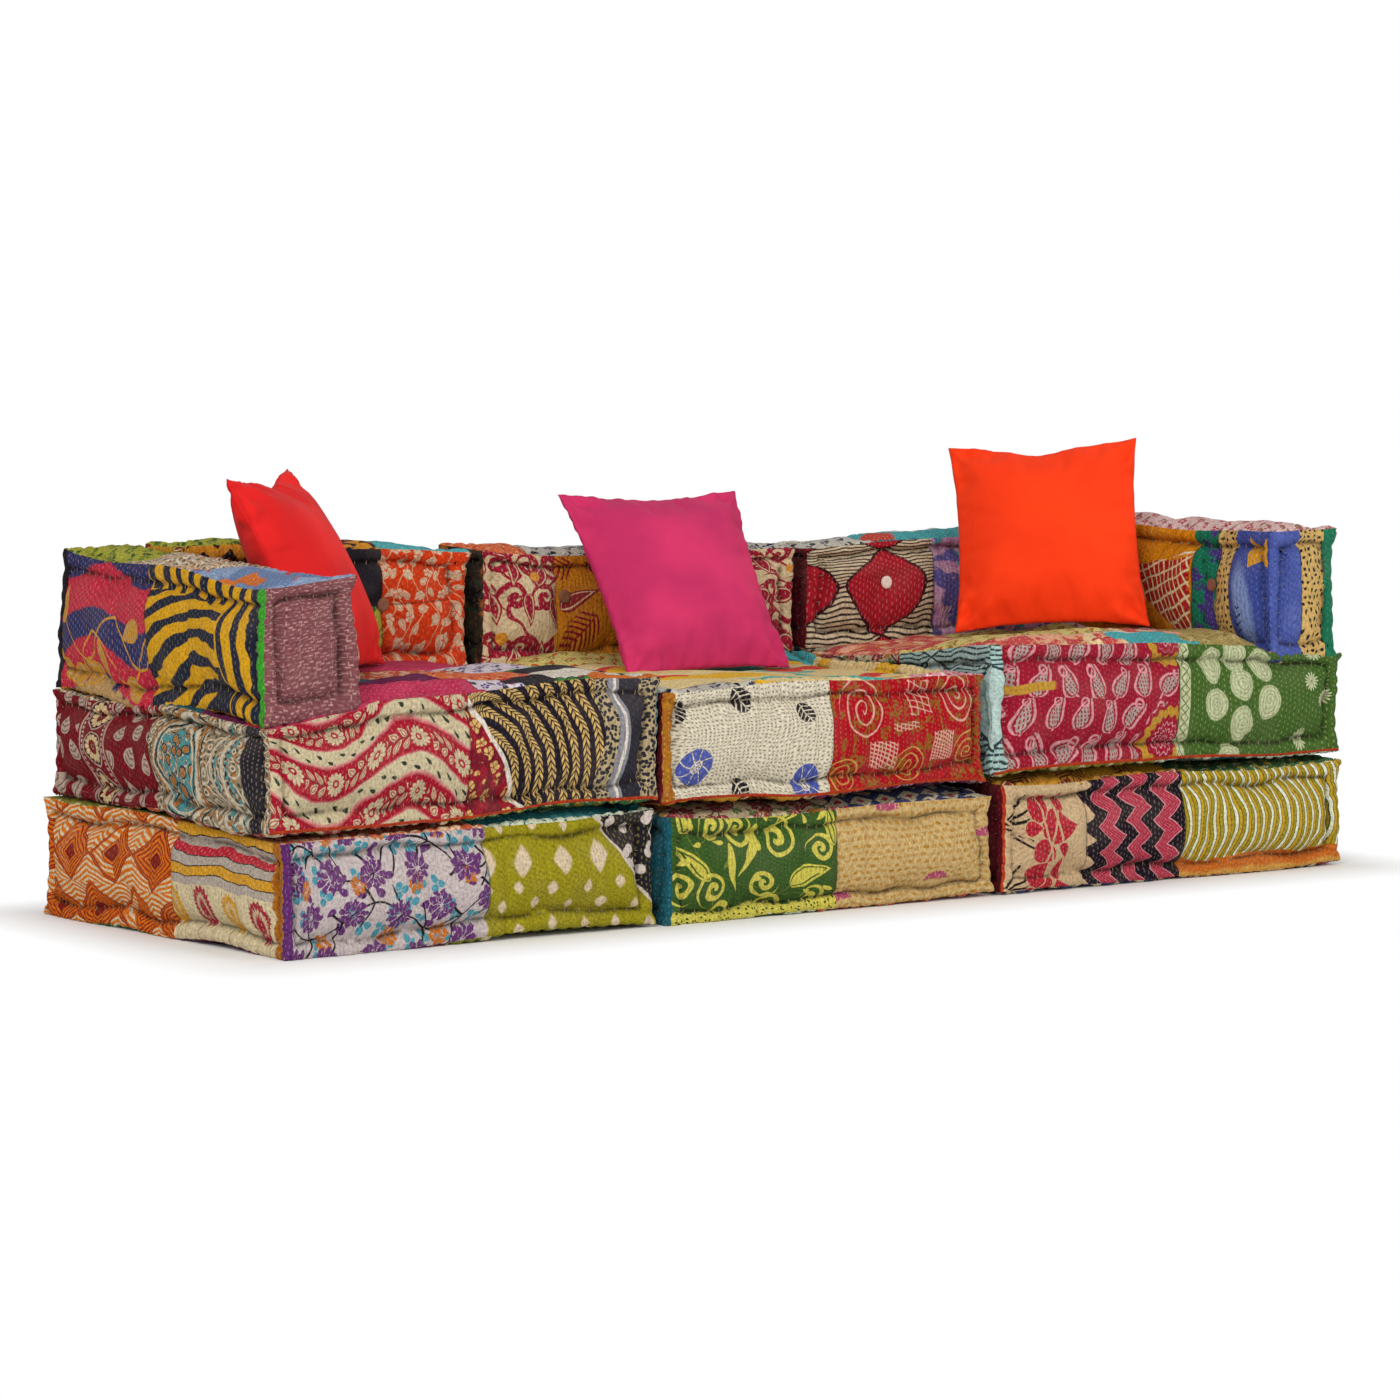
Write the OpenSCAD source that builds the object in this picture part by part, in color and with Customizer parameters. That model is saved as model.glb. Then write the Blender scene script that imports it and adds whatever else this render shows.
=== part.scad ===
// Modular pouf sofa: square mattress poufs in two layers, loose bolsters and scatter pillows.
// Origin on the floor at the middle of the plan, front towards -Y, left and right as seen from the front.

/* [Poufs] */
// Width of the left column's poufs across their bulging sides
left_w = 815; // [660:5:960]
// Width of the middle column's poufs across their bulging sides
mid_w = 760; // [660:5:960]
// Width of the right column's poufs across their bulging sides
right_w = 858; // [660:1:960]
// Depth of every pouf, front bulge to rear bulge
pouf_d = 818; // [700:2:960]
// Height of a pouf between its lower and its upper rolled edges
pouf_h = 198; // [170:1:260]
// How far a pouf's faces crown past its rolled edges
pouf_crown = 13; // [6:1:24]
// How far a base pouf's underside still crowns on the floor
floor_crown = 4; // [2:0.5:8]
// How far in from the rolled edge a pouf's crown reaches its full height
pouf_crown_w = 62; // [50:1:90]
// Length of the slit that a pouf was filled through
slit_l = 240; // [120:10:320]
// Width left in that slit once it is sewn shut
slit_w = 1; // [0.8:0.1:2]

/* [Bolsters] */
// Width of a bolster, front bulge to rear bulge
bolster_w = 195; // [180:1:260]
// Height of a bolster between its lower and its upper rolled edges
bolster_h = 210; // [180:1:300]
// How far a bolster's faces crown past its rolled edges
bolster_crown = 5; // [3:1:10]
// How far in from the rolled edge a bolster's crown reaches its full height
bolster_crown_w = 40; // [36:1:52]
// How far an arm bolster stops short of its pouf at each end
arm_short = 7; // [0:1:40]
// How far the middle back bolster stops short of its pouf at each end
mid_back_short = 12; // [0:1:60]
// Space between the middle back bolster and each side one
back_join = 20; // [2:1:40]

/* [Rolled edges and sides] */
// Width of the stitched rolled edge along every seam
roll_w = 28; // [20:1:32]
// Depth of the crease beside a rolled edge
crease = 7; // [3:1:10]
// How far the middle of a side bulges past the rolled edges
side_bulge = 14; // [4:1:20]
// Height over which a side swells out from the crease
side_rise = 34; // [24:1:44]

/* [Tufts] */
// Diameter of a tuft button
button_d = 26; // [16:1:40]
// Thickness of a tuft button
button_t = 7; // [4:0.5:12]
// Radius of a tuft button's rounded rim
button_rim = 2.5; // [1:0.25:4]
// Depth of the dimple that a tuft pulls into the bulging side
tuft_depth = 14; // [4:1:24]
// Distance from a bolster's end to its nearest tuft
tuft_in = 190; // [110:5:220]
// Diameter of the tufting twine
twine_d = 2.5; // [1.5:0.25:4]

/* [Pillows] */
// Width and height of a scatter pillow, corner to corner
pillow_w = 396; // [300:2:460]
// Thickness of a scatter pillow at its middle
pillow_t = 116; // [80:2:160]
// How far a pillow's edges curve in between its corners
pillow_nip = 18; // [6:1:30]
// Lean of the red pillow over the arm
red_lean = 27; // [10:1:40]
// Turn of the red pillow out of the left corner
red_turn = 45; // [20:1:60]
// Lean of the magenta pillow against the back
magenta_lean = 35; // [10:1:40]
// Distance of the magenta pillow to the right of its pouf's middle
magenta_right = 15; // [0:5:150]
// Lean of the orange pillow against the back
orange_lean = 24; // [5:1:32]
// Turn of the orange pillow out of the right corner
orange_turn = 38; // [10:1:60]

/* [Cloth and fits] */
// Thickness of the quilted cover
cover_t = 4; // [2:0.5:8]
// Thickness of a pillow's cotton cover
pillow_cover_t = 1.5; // [1:0.25:3]
// Width of the flat hem inside a pillow's knife edge
pillow_hem = 26; // [20:1:34]
// Space between pieces that lie together
fit_gap = 0.3; // [0.2:0.05:0.6]

/* [Hidden] */

// Widths, middles and heights of the two layers of poufs; column 0 is the left one
full_w = left_w + mid_w + right_w + 2 * fit_gap;
column_w = [left_w, mid_w, right_w];
column_x = [
    (left_w - full_w) / 2,
    (left_w - right_w) / 2,
    (full_w - right_w) / 2,
];
base_h = floor_crown + pouf_h + pouf_crown;
seat_z = base_h + fit_gap;
seat_h = pouf_crown + pouf_h + pouf_crown;
top_z = seat_z + seat_h + fit_gap;

// Lengths and places of the bolsters; side is -1 for the left one and 1 for the right one
bolster_full_h = bolster_crown + bolster_h + bolster_crown;
arm_l = pouf_d - 2 * arm_short;
arm_x = (full_w - bolster_w) / 2;
arm_inner_x = full_w / 2 - bolster_w - fit_gap;
back_y = (pouf_d - bolster_w) / 2;
mid_back_l = mid_w - 2 * mid_back_short;
function side_back_from(side) = mid_back_l / 2 + back_join + side * column_x[1];
function side_back_l(side) = arm_inner_x - side_back_from(side);
function side_back_x(side) = side * (arm_inner_x + side_back_from(side)) / 2;

// Shares of a rolled edge's width, of its crease and of the bulge at which the rings of a skin lie
corner_share = 0.35;
face_share = 0.4;
round_share = 0.45;
crease_share = 0.5;
near_bulge = 0.15;
high_bulge = 0.75;

function turn_plan(p, a) = [p[0] * cos(a) - p[1] * sin(a), p[0] * sin(a) + p[1] * cos(a)];

// Points round one side of a cushion, seen from above, for a side of half length l at distance d.
// mids holds [place, pull] of the points between the corner creases: each bulges out, less its pull.
function side_points(l, d, mids, bulge) =
    let (crease_y = crease * crease_share - d)
    [
        [roll_w * corner_share - l, -d],
        [roll_w - l, crease_y],
        for (m = mids) [m[0], -d - bulge * side_bulge + (bulge == 1 ? m[1] : 0)],
        [l - roll_w, crease_y],
        [l - roll_w * corner_share, -d],
    ];

// One ring of a cushion: a by b across its bulges, drawn in by inset, at height z, with mids for each side
function ring(a, b, inset, z, bulge, sides) = [
    for (side = [0:3])
        let (
            along = (side % 2 == 0 ? a : b) / 2 - side_bulge - inset,
            away = (side % 2 == 0 ? b : a) / 2 - side_bulge - inset
        )
        for (p = side_points(along, away, sides[side], bulge))
            let (r = turn_plan(p, 90 * side)) [r[0], r[1], z]
];

// Height, inset and share of the bulge of each ring from a face to the swollen side
function half_profile(crown, crown_w) = [
    [0, crown_w, 0],
    [crown + crease * crease_share, roll_w, 0],
    [crown, roll_w * face_share, 0],
    [crown + roll_w * round_share, 0, near_bulge],
    [crown + roll_w, crease, near_bulge],
    [crown + roll_w + side_rise, 0, high_bulge],
];

// All rings of a cushion of height h, with its own crown below and above
function cushion_rings(a, b, h, low, high, crown_w, sides) =
    let (
        under = half_profile(low, crown_w),
        over = half_profile(high, crown_w)
    )
    [
        for (p = under) ring(a, b, p[1], p[0], p[2], sides),
        ring(a, b, 0, h / 2, 1, sides),
        for (i = [len(over) - 1:-1:0]) ring(a, b, over[i][1], h - over[i][0], over[i][2], sides),
    ];

// A plain block inside a cushion, t in from its skin, with flattened corners
function block_ring(a, b, inset, z, cut) = [
    for (side = [0:3])
        let (
            along = (side % 2 == 0 ? a : b) / 2 - side_bulge - inset,
            away = (side % 2 == 0 ? b : a) / 2 - side_bulge - inset
        )
        for (x = [cut - along, along - cut])
            let (r = turn_plan([x, -away], 90 * side)) [r[0], r[1], z]
];

// How far in from the rolled edges the block lies at the middle of the sides, behind any tufts
function block_in(t) = max(tuft_depth - side_bulge, crease * crease_share) + t;

function block_rings(a, b, h, low, high, crown_w, t) = [
    block_ring(a, b, crown_w + t, t, roll_w),
    block_ring(a, b, crease + t, low + roll_w + t, roll_w),
    block_ring(a, b, block_in(t), h / 2, roll_w),
    block_ring(a, b, crease + t, h - high - roll_w - t, roll_w),
    block_ring(a, b, crown_w + t, h - t, roll_w),
];

// The middle of a ring
function middle(r) = [for (k = [0:2]) sum([for (p = r) p[k]]) / len(r)];
function sum(values) = values * [for (v = values) 1];

// A closed skin over rings of equal length, the lowest first, with each end fanned from its middle
module skin(rings) {
    n = len(rings[0]);
    last = len(rings) - 1;
    low_middle = (last + 1) * n;
    polyhedron(
        points = [
            for (r = rings) each r,
            middle(rings[0]),
            middle(rings[last]),
        ],
        faces = [
            for (j = [0:n - 1])
                let (k = (j + 1) % n) each [
                    [low_middle, j, k],
                    for (i = [0:last - 1]) each [
                        [i * n + j, (i + 1) * n + j, (i + 1) * n + k],
                        [i * n + j, (i + 1) * n + k, i * n + k],
                    ],
                    [low_middle + 1, last * n + k, last * n + j],
                ],
        ]
    );
}

// Poufs, by column and by how far their underside crowns
function pouf_full_h(low) = low + pouf_h + pouf_crown;
function pouf_mids(w) = [[-w / 6, 0], [w / 6, 0]];

module pouf_skin(column, low) {
    wide = pouf_mids(column_w[column]);
    deep = pouf_mids(pouf_d);
    skin(cushion_rings(column_w[column], pouf_d, pouf_full_h(low), low, pouf_crown,
        pouf_crown_w, [wide, deep, wide, deep]));
}

module pouf_block(column, low, t) {
    skin(block_rings(column_w[column], pouf_d, pouf_full_h(low), low, pouf_crown, pouf_crown_w, t));
}

// The slit in the rear side is where the filling went in, drawn shut by hand afterwards
module pouf_cover(column, low) {
    difference() {
        pouf_skin(column, low);
        pouf_block(column, low, cover_t);
        translate([-slit_l / 2, pouf_d / 4, (pouf_full_h(low) - slit_w) / 2])
            cube([slit_l, pouf_d / 2, slit_w]);
    }
}

module pouf_filling(column, low) pouf_block(column, low, cover_t + fit_gap);

module base_cover(column) translate([column_x[column], 0, 0]) pouf_cover(column, floor_crown);
module base_filling(column) translate([column_x[column], 0, 0]) pouf_filling(column, floor_crown);
module seat_cover(column) translate([column_x[column], 0, seat_z]) pouf_cover(column, pouf_crown);
module seat_filling(column) translate([column_x[column], 0, seat_z]) pouf_filling(column, pouf_crown);

// Bolsters of length l, lying along X with their front towards -Y
function tuft_x(l) = l / 2 - tuft_in;
function bolster_rings(l) =
    let (
        front = [[-tuft_x(l), tuft_depth], [0, 0], [tuft_x(l), tuft_depth]],
        rear = [for (m = front) [m[0], 0]],
        end = [[0, 0]]
    )
    cushion_rings(l, bolster_w, bolster_full_h, bolster_crown, bolster_crown,
        bolster_crown_w, [front, end, rear, end]);

module bolster_block(l, t) {
    skin(block_rings(l, bolster_w, bolster_full_h, bolster_crown, bolster_crown, bolster_crown_w, t));
}

// Something at each tuft, with +Z out of the cushion's front and the tuft's seat at zero
module at_tufts(l) {
    for (side = [-1, 1])
        translate([side * tuft_x(l), tuft_depth - bolster_w / 2, bolster_full_h / 2])
            rotate([90, 0, 0]) children();
}

// The twine runs from the button's back to the inside of the cover's far wall
twine_l = bolster_w - tuft_depth - side_bulge - block_in(cover_t) - fit_gap;
module twine_hole(l) {
    at_tufts(l) translate([0, 0, -twine_l - fit_gap])
        cylinder(d = twine_d + 2 * fit_gap, h = twine_l + 2 * fit_gap, $fn = 24);
}

module bolster_cover(l) {
    difference() {
        skin(bolster_rings(l));
        bolster_block(l, cover_t);
        twine_hole(l);
        at_tufts(l) cylinder(d = button_d + 2 * fit_gap, h = tuft_depth + button_t, $fn = 48);
    }
}

module bolster_filling(l) {
    difference() {
        bolster_block(l, cover_t + fit_gap);
        twine_hole(l);
    }
}

module bolster_buttons(l) {
    at_tufts(l) translate([0, 0, fit_gap]) rotate_extrude($fn = 48) {
        square([button_d / 2 - button_rim, button_t]);
        square([button_d / 2, button_t - button_rim]);
        translate([button_d / 2 - button_rim, button_t - button_rim]) circle(r = button_rim, $fn = 32);
    }
}

module bolster_ties(l) at_tufts(l) translate([0, 0, -twine_l]) cylinder(d = twine_d, h = twine_l, $fn = 24);

module arm_place(side) translate([side * arm_x, 0, top_z]) rotate([0, 0, -90 * side]) children();
module side_back_place(side) translate([side_back_x(side), back_y, top_z]) children();
module mid_back_place() translate([column_x[1], back_y, top_z]) children();

// Pillows: a grid of points over a lens with a knife edge, drawn in between its corners
function grid_step(i, n) = sin(180 * i / n - 90);
function pillow_point(u, v, w, t, face) =
    [
        (w / 2 - pillow_nip * (1 - v * v)) * u,
        face * t / 2 * pow((1 - u * u) * (1 - v * v), 0.55),
        (w / 2 - pillow_nip * (1 - u * u)) * v,
    ];
function pillow_points(w, t, n) = [
    for (i = [0:n], j = [0:n]) pillow_point(grid_step(i, n), grid_step(j, n), w, t, -1),
    for (i = [1:n - 1], j = [1:n - 1]) pillow_point(grid_step(i, n), grid_step(j, n), w, t, 1),
];

function front_at(i, j, n) = i * (n + 1) + j;
function rear_at(i, j, n) = (i == 0 || j == 0 || i == n || j == n) ? front_at(i, j, n)
    : (n + 1) * (n + 1) + (i - 1) * (n - 1) + j - 1;

// Two triangles of a grid cell from its corners a, b, c, d in turn, split from a to c or from b to d
function cell(a, b, c, d, ac) = ac ? [[a, b, c], [a, c, d]] : [[b, c, d], [b, d, a]];

module pillow_skin(w, t, n) {
    polyhedron(
        points = pillow_points(w, t, n),
        faces = [
            for (i = [0:n - 1], j = [0:n - 1])
                let (ac = (i < n / 2) == (j < n / 2)) each concat(
                    cell(front_at(i, j, n), front_at(i, j + 1, n),
                        front_at(i + 1, j + 1, n), front_at(i + 1, j, n), ac),
                    cell(rear_at(i, j, n), rear_at(i + 1, j, n),
                        rear_at(i + 1, j + 1, n), rear_at(i, j + 1, n), ac)
                ),
        ]
    );
}

pillow_cells = 8;
block_cells = 4;
inner_w = pillow_w - 2 * (pillow_hem + pillow_nip);
inner_t = pillow_t - 2 * pillow_cover_t;

module pillow_cover() {
    difference() {
        pillow_skin(pillow_w, pillow_t, pillow_cells);
        pillow_skin(inner_w, inner_t, block_cells);
    }
}

module pillow_filling() pillow_skin(inner_w - 2 * fit_gap, inner_t - 2 * fit_gap, block_cells);

// A pillow leans back about X, then turns about Z. Its place comes from how far it reaches towards its seat.
function leant(p, lean, turned) =
    let (
        y = p[1] * cos(lean) + p[2] * sin(lean),
        z = p[2] * cos(lean) - p[1] * sin(lean),
        r = turn_plan([p[0], y], turned)
    )
    [r[0], r[1], z];
function leant_pillow(lean, turned) =
    [for (p = pillow_points(pillow_w, pillow_t, pillow_cells)) leant(p, lean, turned)];
function reach(points, way) = max([for (p = points) p * way]);
function upwards(lean, turned) = leant([0, 0, 1], lean, turned);

// Height of a leaning pillow's middle over the floor
function pillow_z(lean, turned) = top_z + reach(leant_pillow(lean, turned), [0, 0, -1]);

// How far behind the middle of a back bolster a leaning pillow's middle stands, negative in front
back_skin = [for (r = bolster_rings(mid_back_l)) each r];
function pillow_y(lean, turned) =
    let (
        up = upwards(lean, turned),
        way = [0, up[2], -up[1]],
        high = pillow_z(lean, turned) - top_z
    )
    (-reach(back_skin, -way) - fit_gap - reach(leant_pillow(lean, turned), way) - way[2] * high) / way[1];

// How far a leaning pillow's middle stands from the middle of the left arm
function pillow_x(lean, turned) =
    let (
        up = upwards(lean, turned),
        way = [-up[2], 0, up[0]],
        arm_skin = [for (p = back_skin) [-p[1], 0, p[2]]],
        high = pillow_z(lean, turned) - top_z
    )
    (reach(arm_skin, -way) + fit_gap + reach(leant_pillow(lean, turned), way) + way[2] * high) / -way[0];

// The red pillow lies over the arm and just clears the back; the orange one does the reverse
module red_place() {
    translate([
        pillow_x(red_lean, red_turn) - arm_x,
        back_y - bolster_w / 2 - fit_gap - reach(leant_pillow(red_lean, red_turn), [0, 1, 0]),
        pillow_z(red_lean, red_turn),
    ])
        rotate([-red_lean, 0, red_turn]) children();
}

module magenta_place() {
    translate([
        column_x[1] + magenta_right,
        back_y + pillow_y(magenta_lean, 0),
        pillow_z(magenta_lean, 0),
    ])
        rotate([-magenta_lean, 0, 0]) children();
}

module orange_place() {
    translate([
        arm_inner_x - reach(leant_pillow(orange_lean, -orange_turn), [1, 0, 0]),
        back_y + pillow_y(orange_lean, -orange_turn),
        pillow_z(orange_lean, -orange_turn),
    ])
        rotate([-orange_lean, 0, -orange_turn]) children();
}

// Base layer
module base_left_cover() color("chocolate") base_cover(0);
module base_left_filling() color("ivory") base_filling(0);
module base_mid_cover() color("darkolivegreen") base_cover(1);
module base_mid_filling() color("ivory") base_filling(1);
module base_right_cover() color("darkkhaki") base_cover(2);
module base_right_filling() color("ivory") base_filling(2);

// Seat layer
module seat_left_cover() color("firebrick") seat_cover(0);
module seat_left_filling() color("ivory") seat_filling(0);
module seat_mid_cover() color("antiquewhite") seat_cover(1);
module seat_mid_filling() color("ivory") seat_filling(1);
module seat_right_cover() color("crimson") seat_cover(2);
module seat_right_filling() color("ivory") seat_filling(2);

// Arms
module arm_left_cover() color("rosybrown") arm_place(-1) bolster_cover(arm_l);
module arm_left_filling() color("ivory") arm_place(-1) bolster_filling(arm_l);
module arm_left_buttons() color("white") arm_place(-1) bolster_buttons(arm_l);
module arm_left_ties() color("wheat") arm_place(-1) bolster_ties(arm_l);
module arm_right_cover() color("goldenrod") arm_place(1) bolster_cover(arm_l);
module arm_right_filling() color("ivory") arm_place(1) bolster_filling(arm_l);
module arm_right_buttons() color("white") arm_place(1) bolster_buttons(arm_l);
module arm_right_ties() color("wheat") arm_place(1) bolster_ties(arm_l);

// Back bolsters
module back_left_cover() color("orangered") side_back_place(-1) bolster_cover(side_back_l(-1));
module back_left_filling() color("ivory") side_back_place(-1) bolster_filling(side_back_l(-1));
module back_left_buttons() color("white") side_back_place(-1) bolster_buttons(side_back_l(-1));
module back_left_ties() color("wheat") side_back_place(-1) bolster_ties(side_back_l(-1));
module back_mid_cover() color("darkorange") mid_back_place() bolster_cover(mid_back_l);
module back_mid_filling() color("ivory") mid_back_place() bolster_filling(mid_back_l);
module back_mid_buttons() color("white") mid_back_place() bolster_buttons(mid_back_l);
module back_mid_ties() color("wheat") mid_back_place() bolster_ties(mid_back_l);
module back_right_cover() color("brown") side_back_place(1) bolster_cover(side_back_l(1));
module back_right_filling() color("ivory") side_back_place(1) bolster_filling(side_back_l(1));
module back_right_buttons() color("white") side_back_place(1) bolster_buttons(side_back_l(1));
module back_right_ties() color("wheat") side_back_place(1) bolster_ties(side_back_l(1));

// Scatter pillows
module pillow_red_cover() color("red") red_place() pillow_cover();
module pillow_red_filling() color("ivory") red_place() pillow_filling();
module pillow_magenta_cover() color("mediumvioletred") magenta_place() pillow_cover();
module pillow_magenta_filling() color("ivory") magenta_place() pillow_filling();
module pillow_orange_cover() color("orangered") orange_place() pillow_cover();
module pillow_orange_filling() color("ivory") orange_place() pillow_filling();

base_left_cover();
base_left_filling();
base_mid_cover();
base_mid_filling();
base_right_cover();
base_right_filling();
seat_left_cover();
seat_left_filling();
seat_mid_cover();
seat_mid_filling();
seat_right_cover();
seat_right_filling();
arm_left_cover();
arm_left_filling();
arm_left_buttons();
arm_left_ties();
arm_right_cover();
arm_right_filling();
arm_right_buttons();
arm_right_ties();
back_left_cover();
back_left_filling();
back_left_buttons();
back_left_ties();
back_mid_cover();
back_mid_filling();
back_mid_buttons();
back_mid_ties();
back_right_cover();
back_right_filling();
back_right_buttons();
back_right_ties();
pillow_red_cover();
pillow_red_filling();
pillow_magenta_cover();
pillow_magenta_filling();
pillow_orange_cover();
pillow_orange_filling();
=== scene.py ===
import math

import bmesh
import bpy
import numpy as np
from mathutils import Matrix, Vector


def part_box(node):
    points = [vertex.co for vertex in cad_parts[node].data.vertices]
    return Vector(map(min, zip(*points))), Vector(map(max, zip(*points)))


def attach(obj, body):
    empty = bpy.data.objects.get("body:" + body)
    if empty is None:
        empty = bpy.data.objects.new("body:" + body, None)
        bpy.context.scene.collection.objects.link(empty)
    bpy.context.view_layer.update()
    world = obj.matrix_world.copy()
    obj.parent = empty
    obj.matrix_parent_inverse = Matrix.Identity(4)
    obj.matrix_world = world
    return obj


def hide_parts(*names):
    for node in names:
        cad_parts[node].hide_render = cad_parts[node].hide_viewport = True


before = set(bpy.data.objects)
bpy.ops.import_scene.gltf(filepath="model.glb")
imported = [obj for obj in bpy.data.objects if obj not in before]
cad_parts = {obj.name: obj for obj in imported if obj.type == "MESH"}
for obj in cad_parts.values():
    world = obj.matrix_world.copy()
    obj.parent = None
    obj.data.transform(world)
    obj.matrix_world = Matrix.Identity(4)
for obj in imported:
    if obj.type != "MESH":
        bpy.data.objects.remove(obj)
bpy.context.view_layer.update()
scene = bpy.context.scene
print("frame loaded")


def toLinear(code):
    # sRGB hex to the linear colour that a shader wants
    parts = [int(code[i:i + 2], 16) / 255 for i in (0, 2, 4)]
    return (*(p / 12.92 if p <= 0.04045 else ((p + 0.055) / 1.055) ** 2.4 for p in parts), 1.0)


def addNode(tree, kind, settings=None, links=None):
    # adds a node, sets its properties, and fills its inputs with values or with other nodes' outputs
    node = tree.nodes.new(kind)
    for name, value in (settings or {}).items():
        setattr(node, name, value)
    for name, value in (links or {}).items():
        value = getattr(value, "socket", value)
        if isinstance(value, bpy.types.NodeSocket):
            tree.links.new(value, node.inputs[name])
        else:
            node.inputs[name].default_value = value
    return node


rolledEdge = {
    "radius": 0.0150,      # of the stitched roll along every seam
    "crease": 1.95,        # how many radii in from the edge its crease lies
    "panel": 1.9,          # where the panel within it begins
    "held": 2.1,           # and how far in the cloth is held still while it is blown up
    "wander": 0.0075,      # how far a roll strays from a straight line
    "pinch": 0.0042,       # how deep each stitch pulls into the roll
    "pinchEvery": 0.027,
    "ear": 0.007,          # how far the corners stand out
    "earReach": 0.035,     # and how far along the edges that starts
    "round": 0.003,        # how far the upright edges are pulled in
    "roundReach": 0.06,
    "uneven": 0.0055,      # how much deeper and shallower its crease gets
    "stray": 0.0050,       # how far the crease strays sideways
    "sausage": 0.0030,     # how unevenly a roll is stuffed
    "reach": 0.06,         # how far in a roll that is pressed down takes the cloth with it
}
panelCloth = {
    "mesh": 0.016,         # grid step before subdivision
    "rise": 0.045,         # how far from its rolls a panel takes to swell
    "sideRise": 0.03,      # the same up and down the low sides
    "gather": 0.0052,      # height of the folds that the seams gather
    "gatherEvery": 0.034,
    "gatherReach": 0.03,   # how far in from the crease they run
    "lump": 0.0052,        # soft lumps of the filling
    "seamDip": 0.0030,     # depth of a sewn join between two patches
    "crumple": 0.0013,     # small creases of the washed cloth
}
tuftLook = {"deep": 0.017, "wide": 0.042, "steep": 1.35, "folds": 7, "foldDeep": 0.22}
lumpSizes = {              # how many metres across the unevenness of each thing is
    "gatherSpread": 0.11, "gatherStrength": 0.16, "stuffing": 0.055, "filling": 0.10,
    "crumple": 0.034, "creaseDepth": 0.13, "creaseStray": 0.075, "wander": 0.22,
}
panelAxes = {  # normal axis, its sign, u axis, its sign, v axis: u runs to the right seen from outside
    "front": (1, -1, 0, 1, 2),
    "back": (1, 1, 0, -1, 2),
    "left": (0, -1, 1, -1, 2),
    "right": (0, 1, 1, 1, 2),
    "top": (2, 1, 0, 1, 1),
    "bottom": (2, -1, 0, -1, 1),
}
panelNames = list(panelAxes)


def gridLines(length, seams):
    # places of the mesh lines across one side: close together over the rolls and at the patch seams
    r = rolledEdge["radius"]
    near = [r * f for f in (0.293, 0.625, 1.0, 1.4, 1.7, rolledEdge["crease"], 2.25, 2.7, 3.3)]
    inner = [s for s in seams if near[-1] + 0.012 < s < length - near[-1] - 0.012]
    stops = [near[-1]] + sorted({s + d for s in inner for d in (-0.006, 0, 0.006)}) + [length - near[-1]]
    lines = near[:-1]
    for a, b in zip(stops, stops[1:]):
        count = max(1, round((b - a) / panelCloth["mesh"]))
        lines += [a + (b - a) * i / count for i in range(count)]
    return np.array(lines + [length - d for d in reversed(near)])


def edgeProfile(d):
    # height of the cloth at distance d from the box's edge: a round roll, a crease, then the panel
    r, crease = rolledEdge["radius"], rolledEdge["crease"]
    roll = np.sqrt(np.maximum(r * r - (d - r) ** 2, 0)) - r
    panel = np.interp(d / r, [crease, 2.2, 2.55, 3.1, 3.9], [-1.02, -0.72, -0.34, -0.1, 0]) * r
    return np.where(d < crease * r, roll, panel)


def lumps(points, size, seed):
    # smooth noise, about 1 at most, with lumps of the given size
    draw = np.random.RandomState(seed)
    total = np.zeros(len(points))
    for _ in range(7):
        way = draw.normal(size=3)
        way *= draw.uniform(0.6, 1.5) * math.pi / size / np.linalg.norm(way)
        total += np.sin(points @ way + draw.uniform(0, 2 * math.pi))
    return total / 3.5


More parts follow.
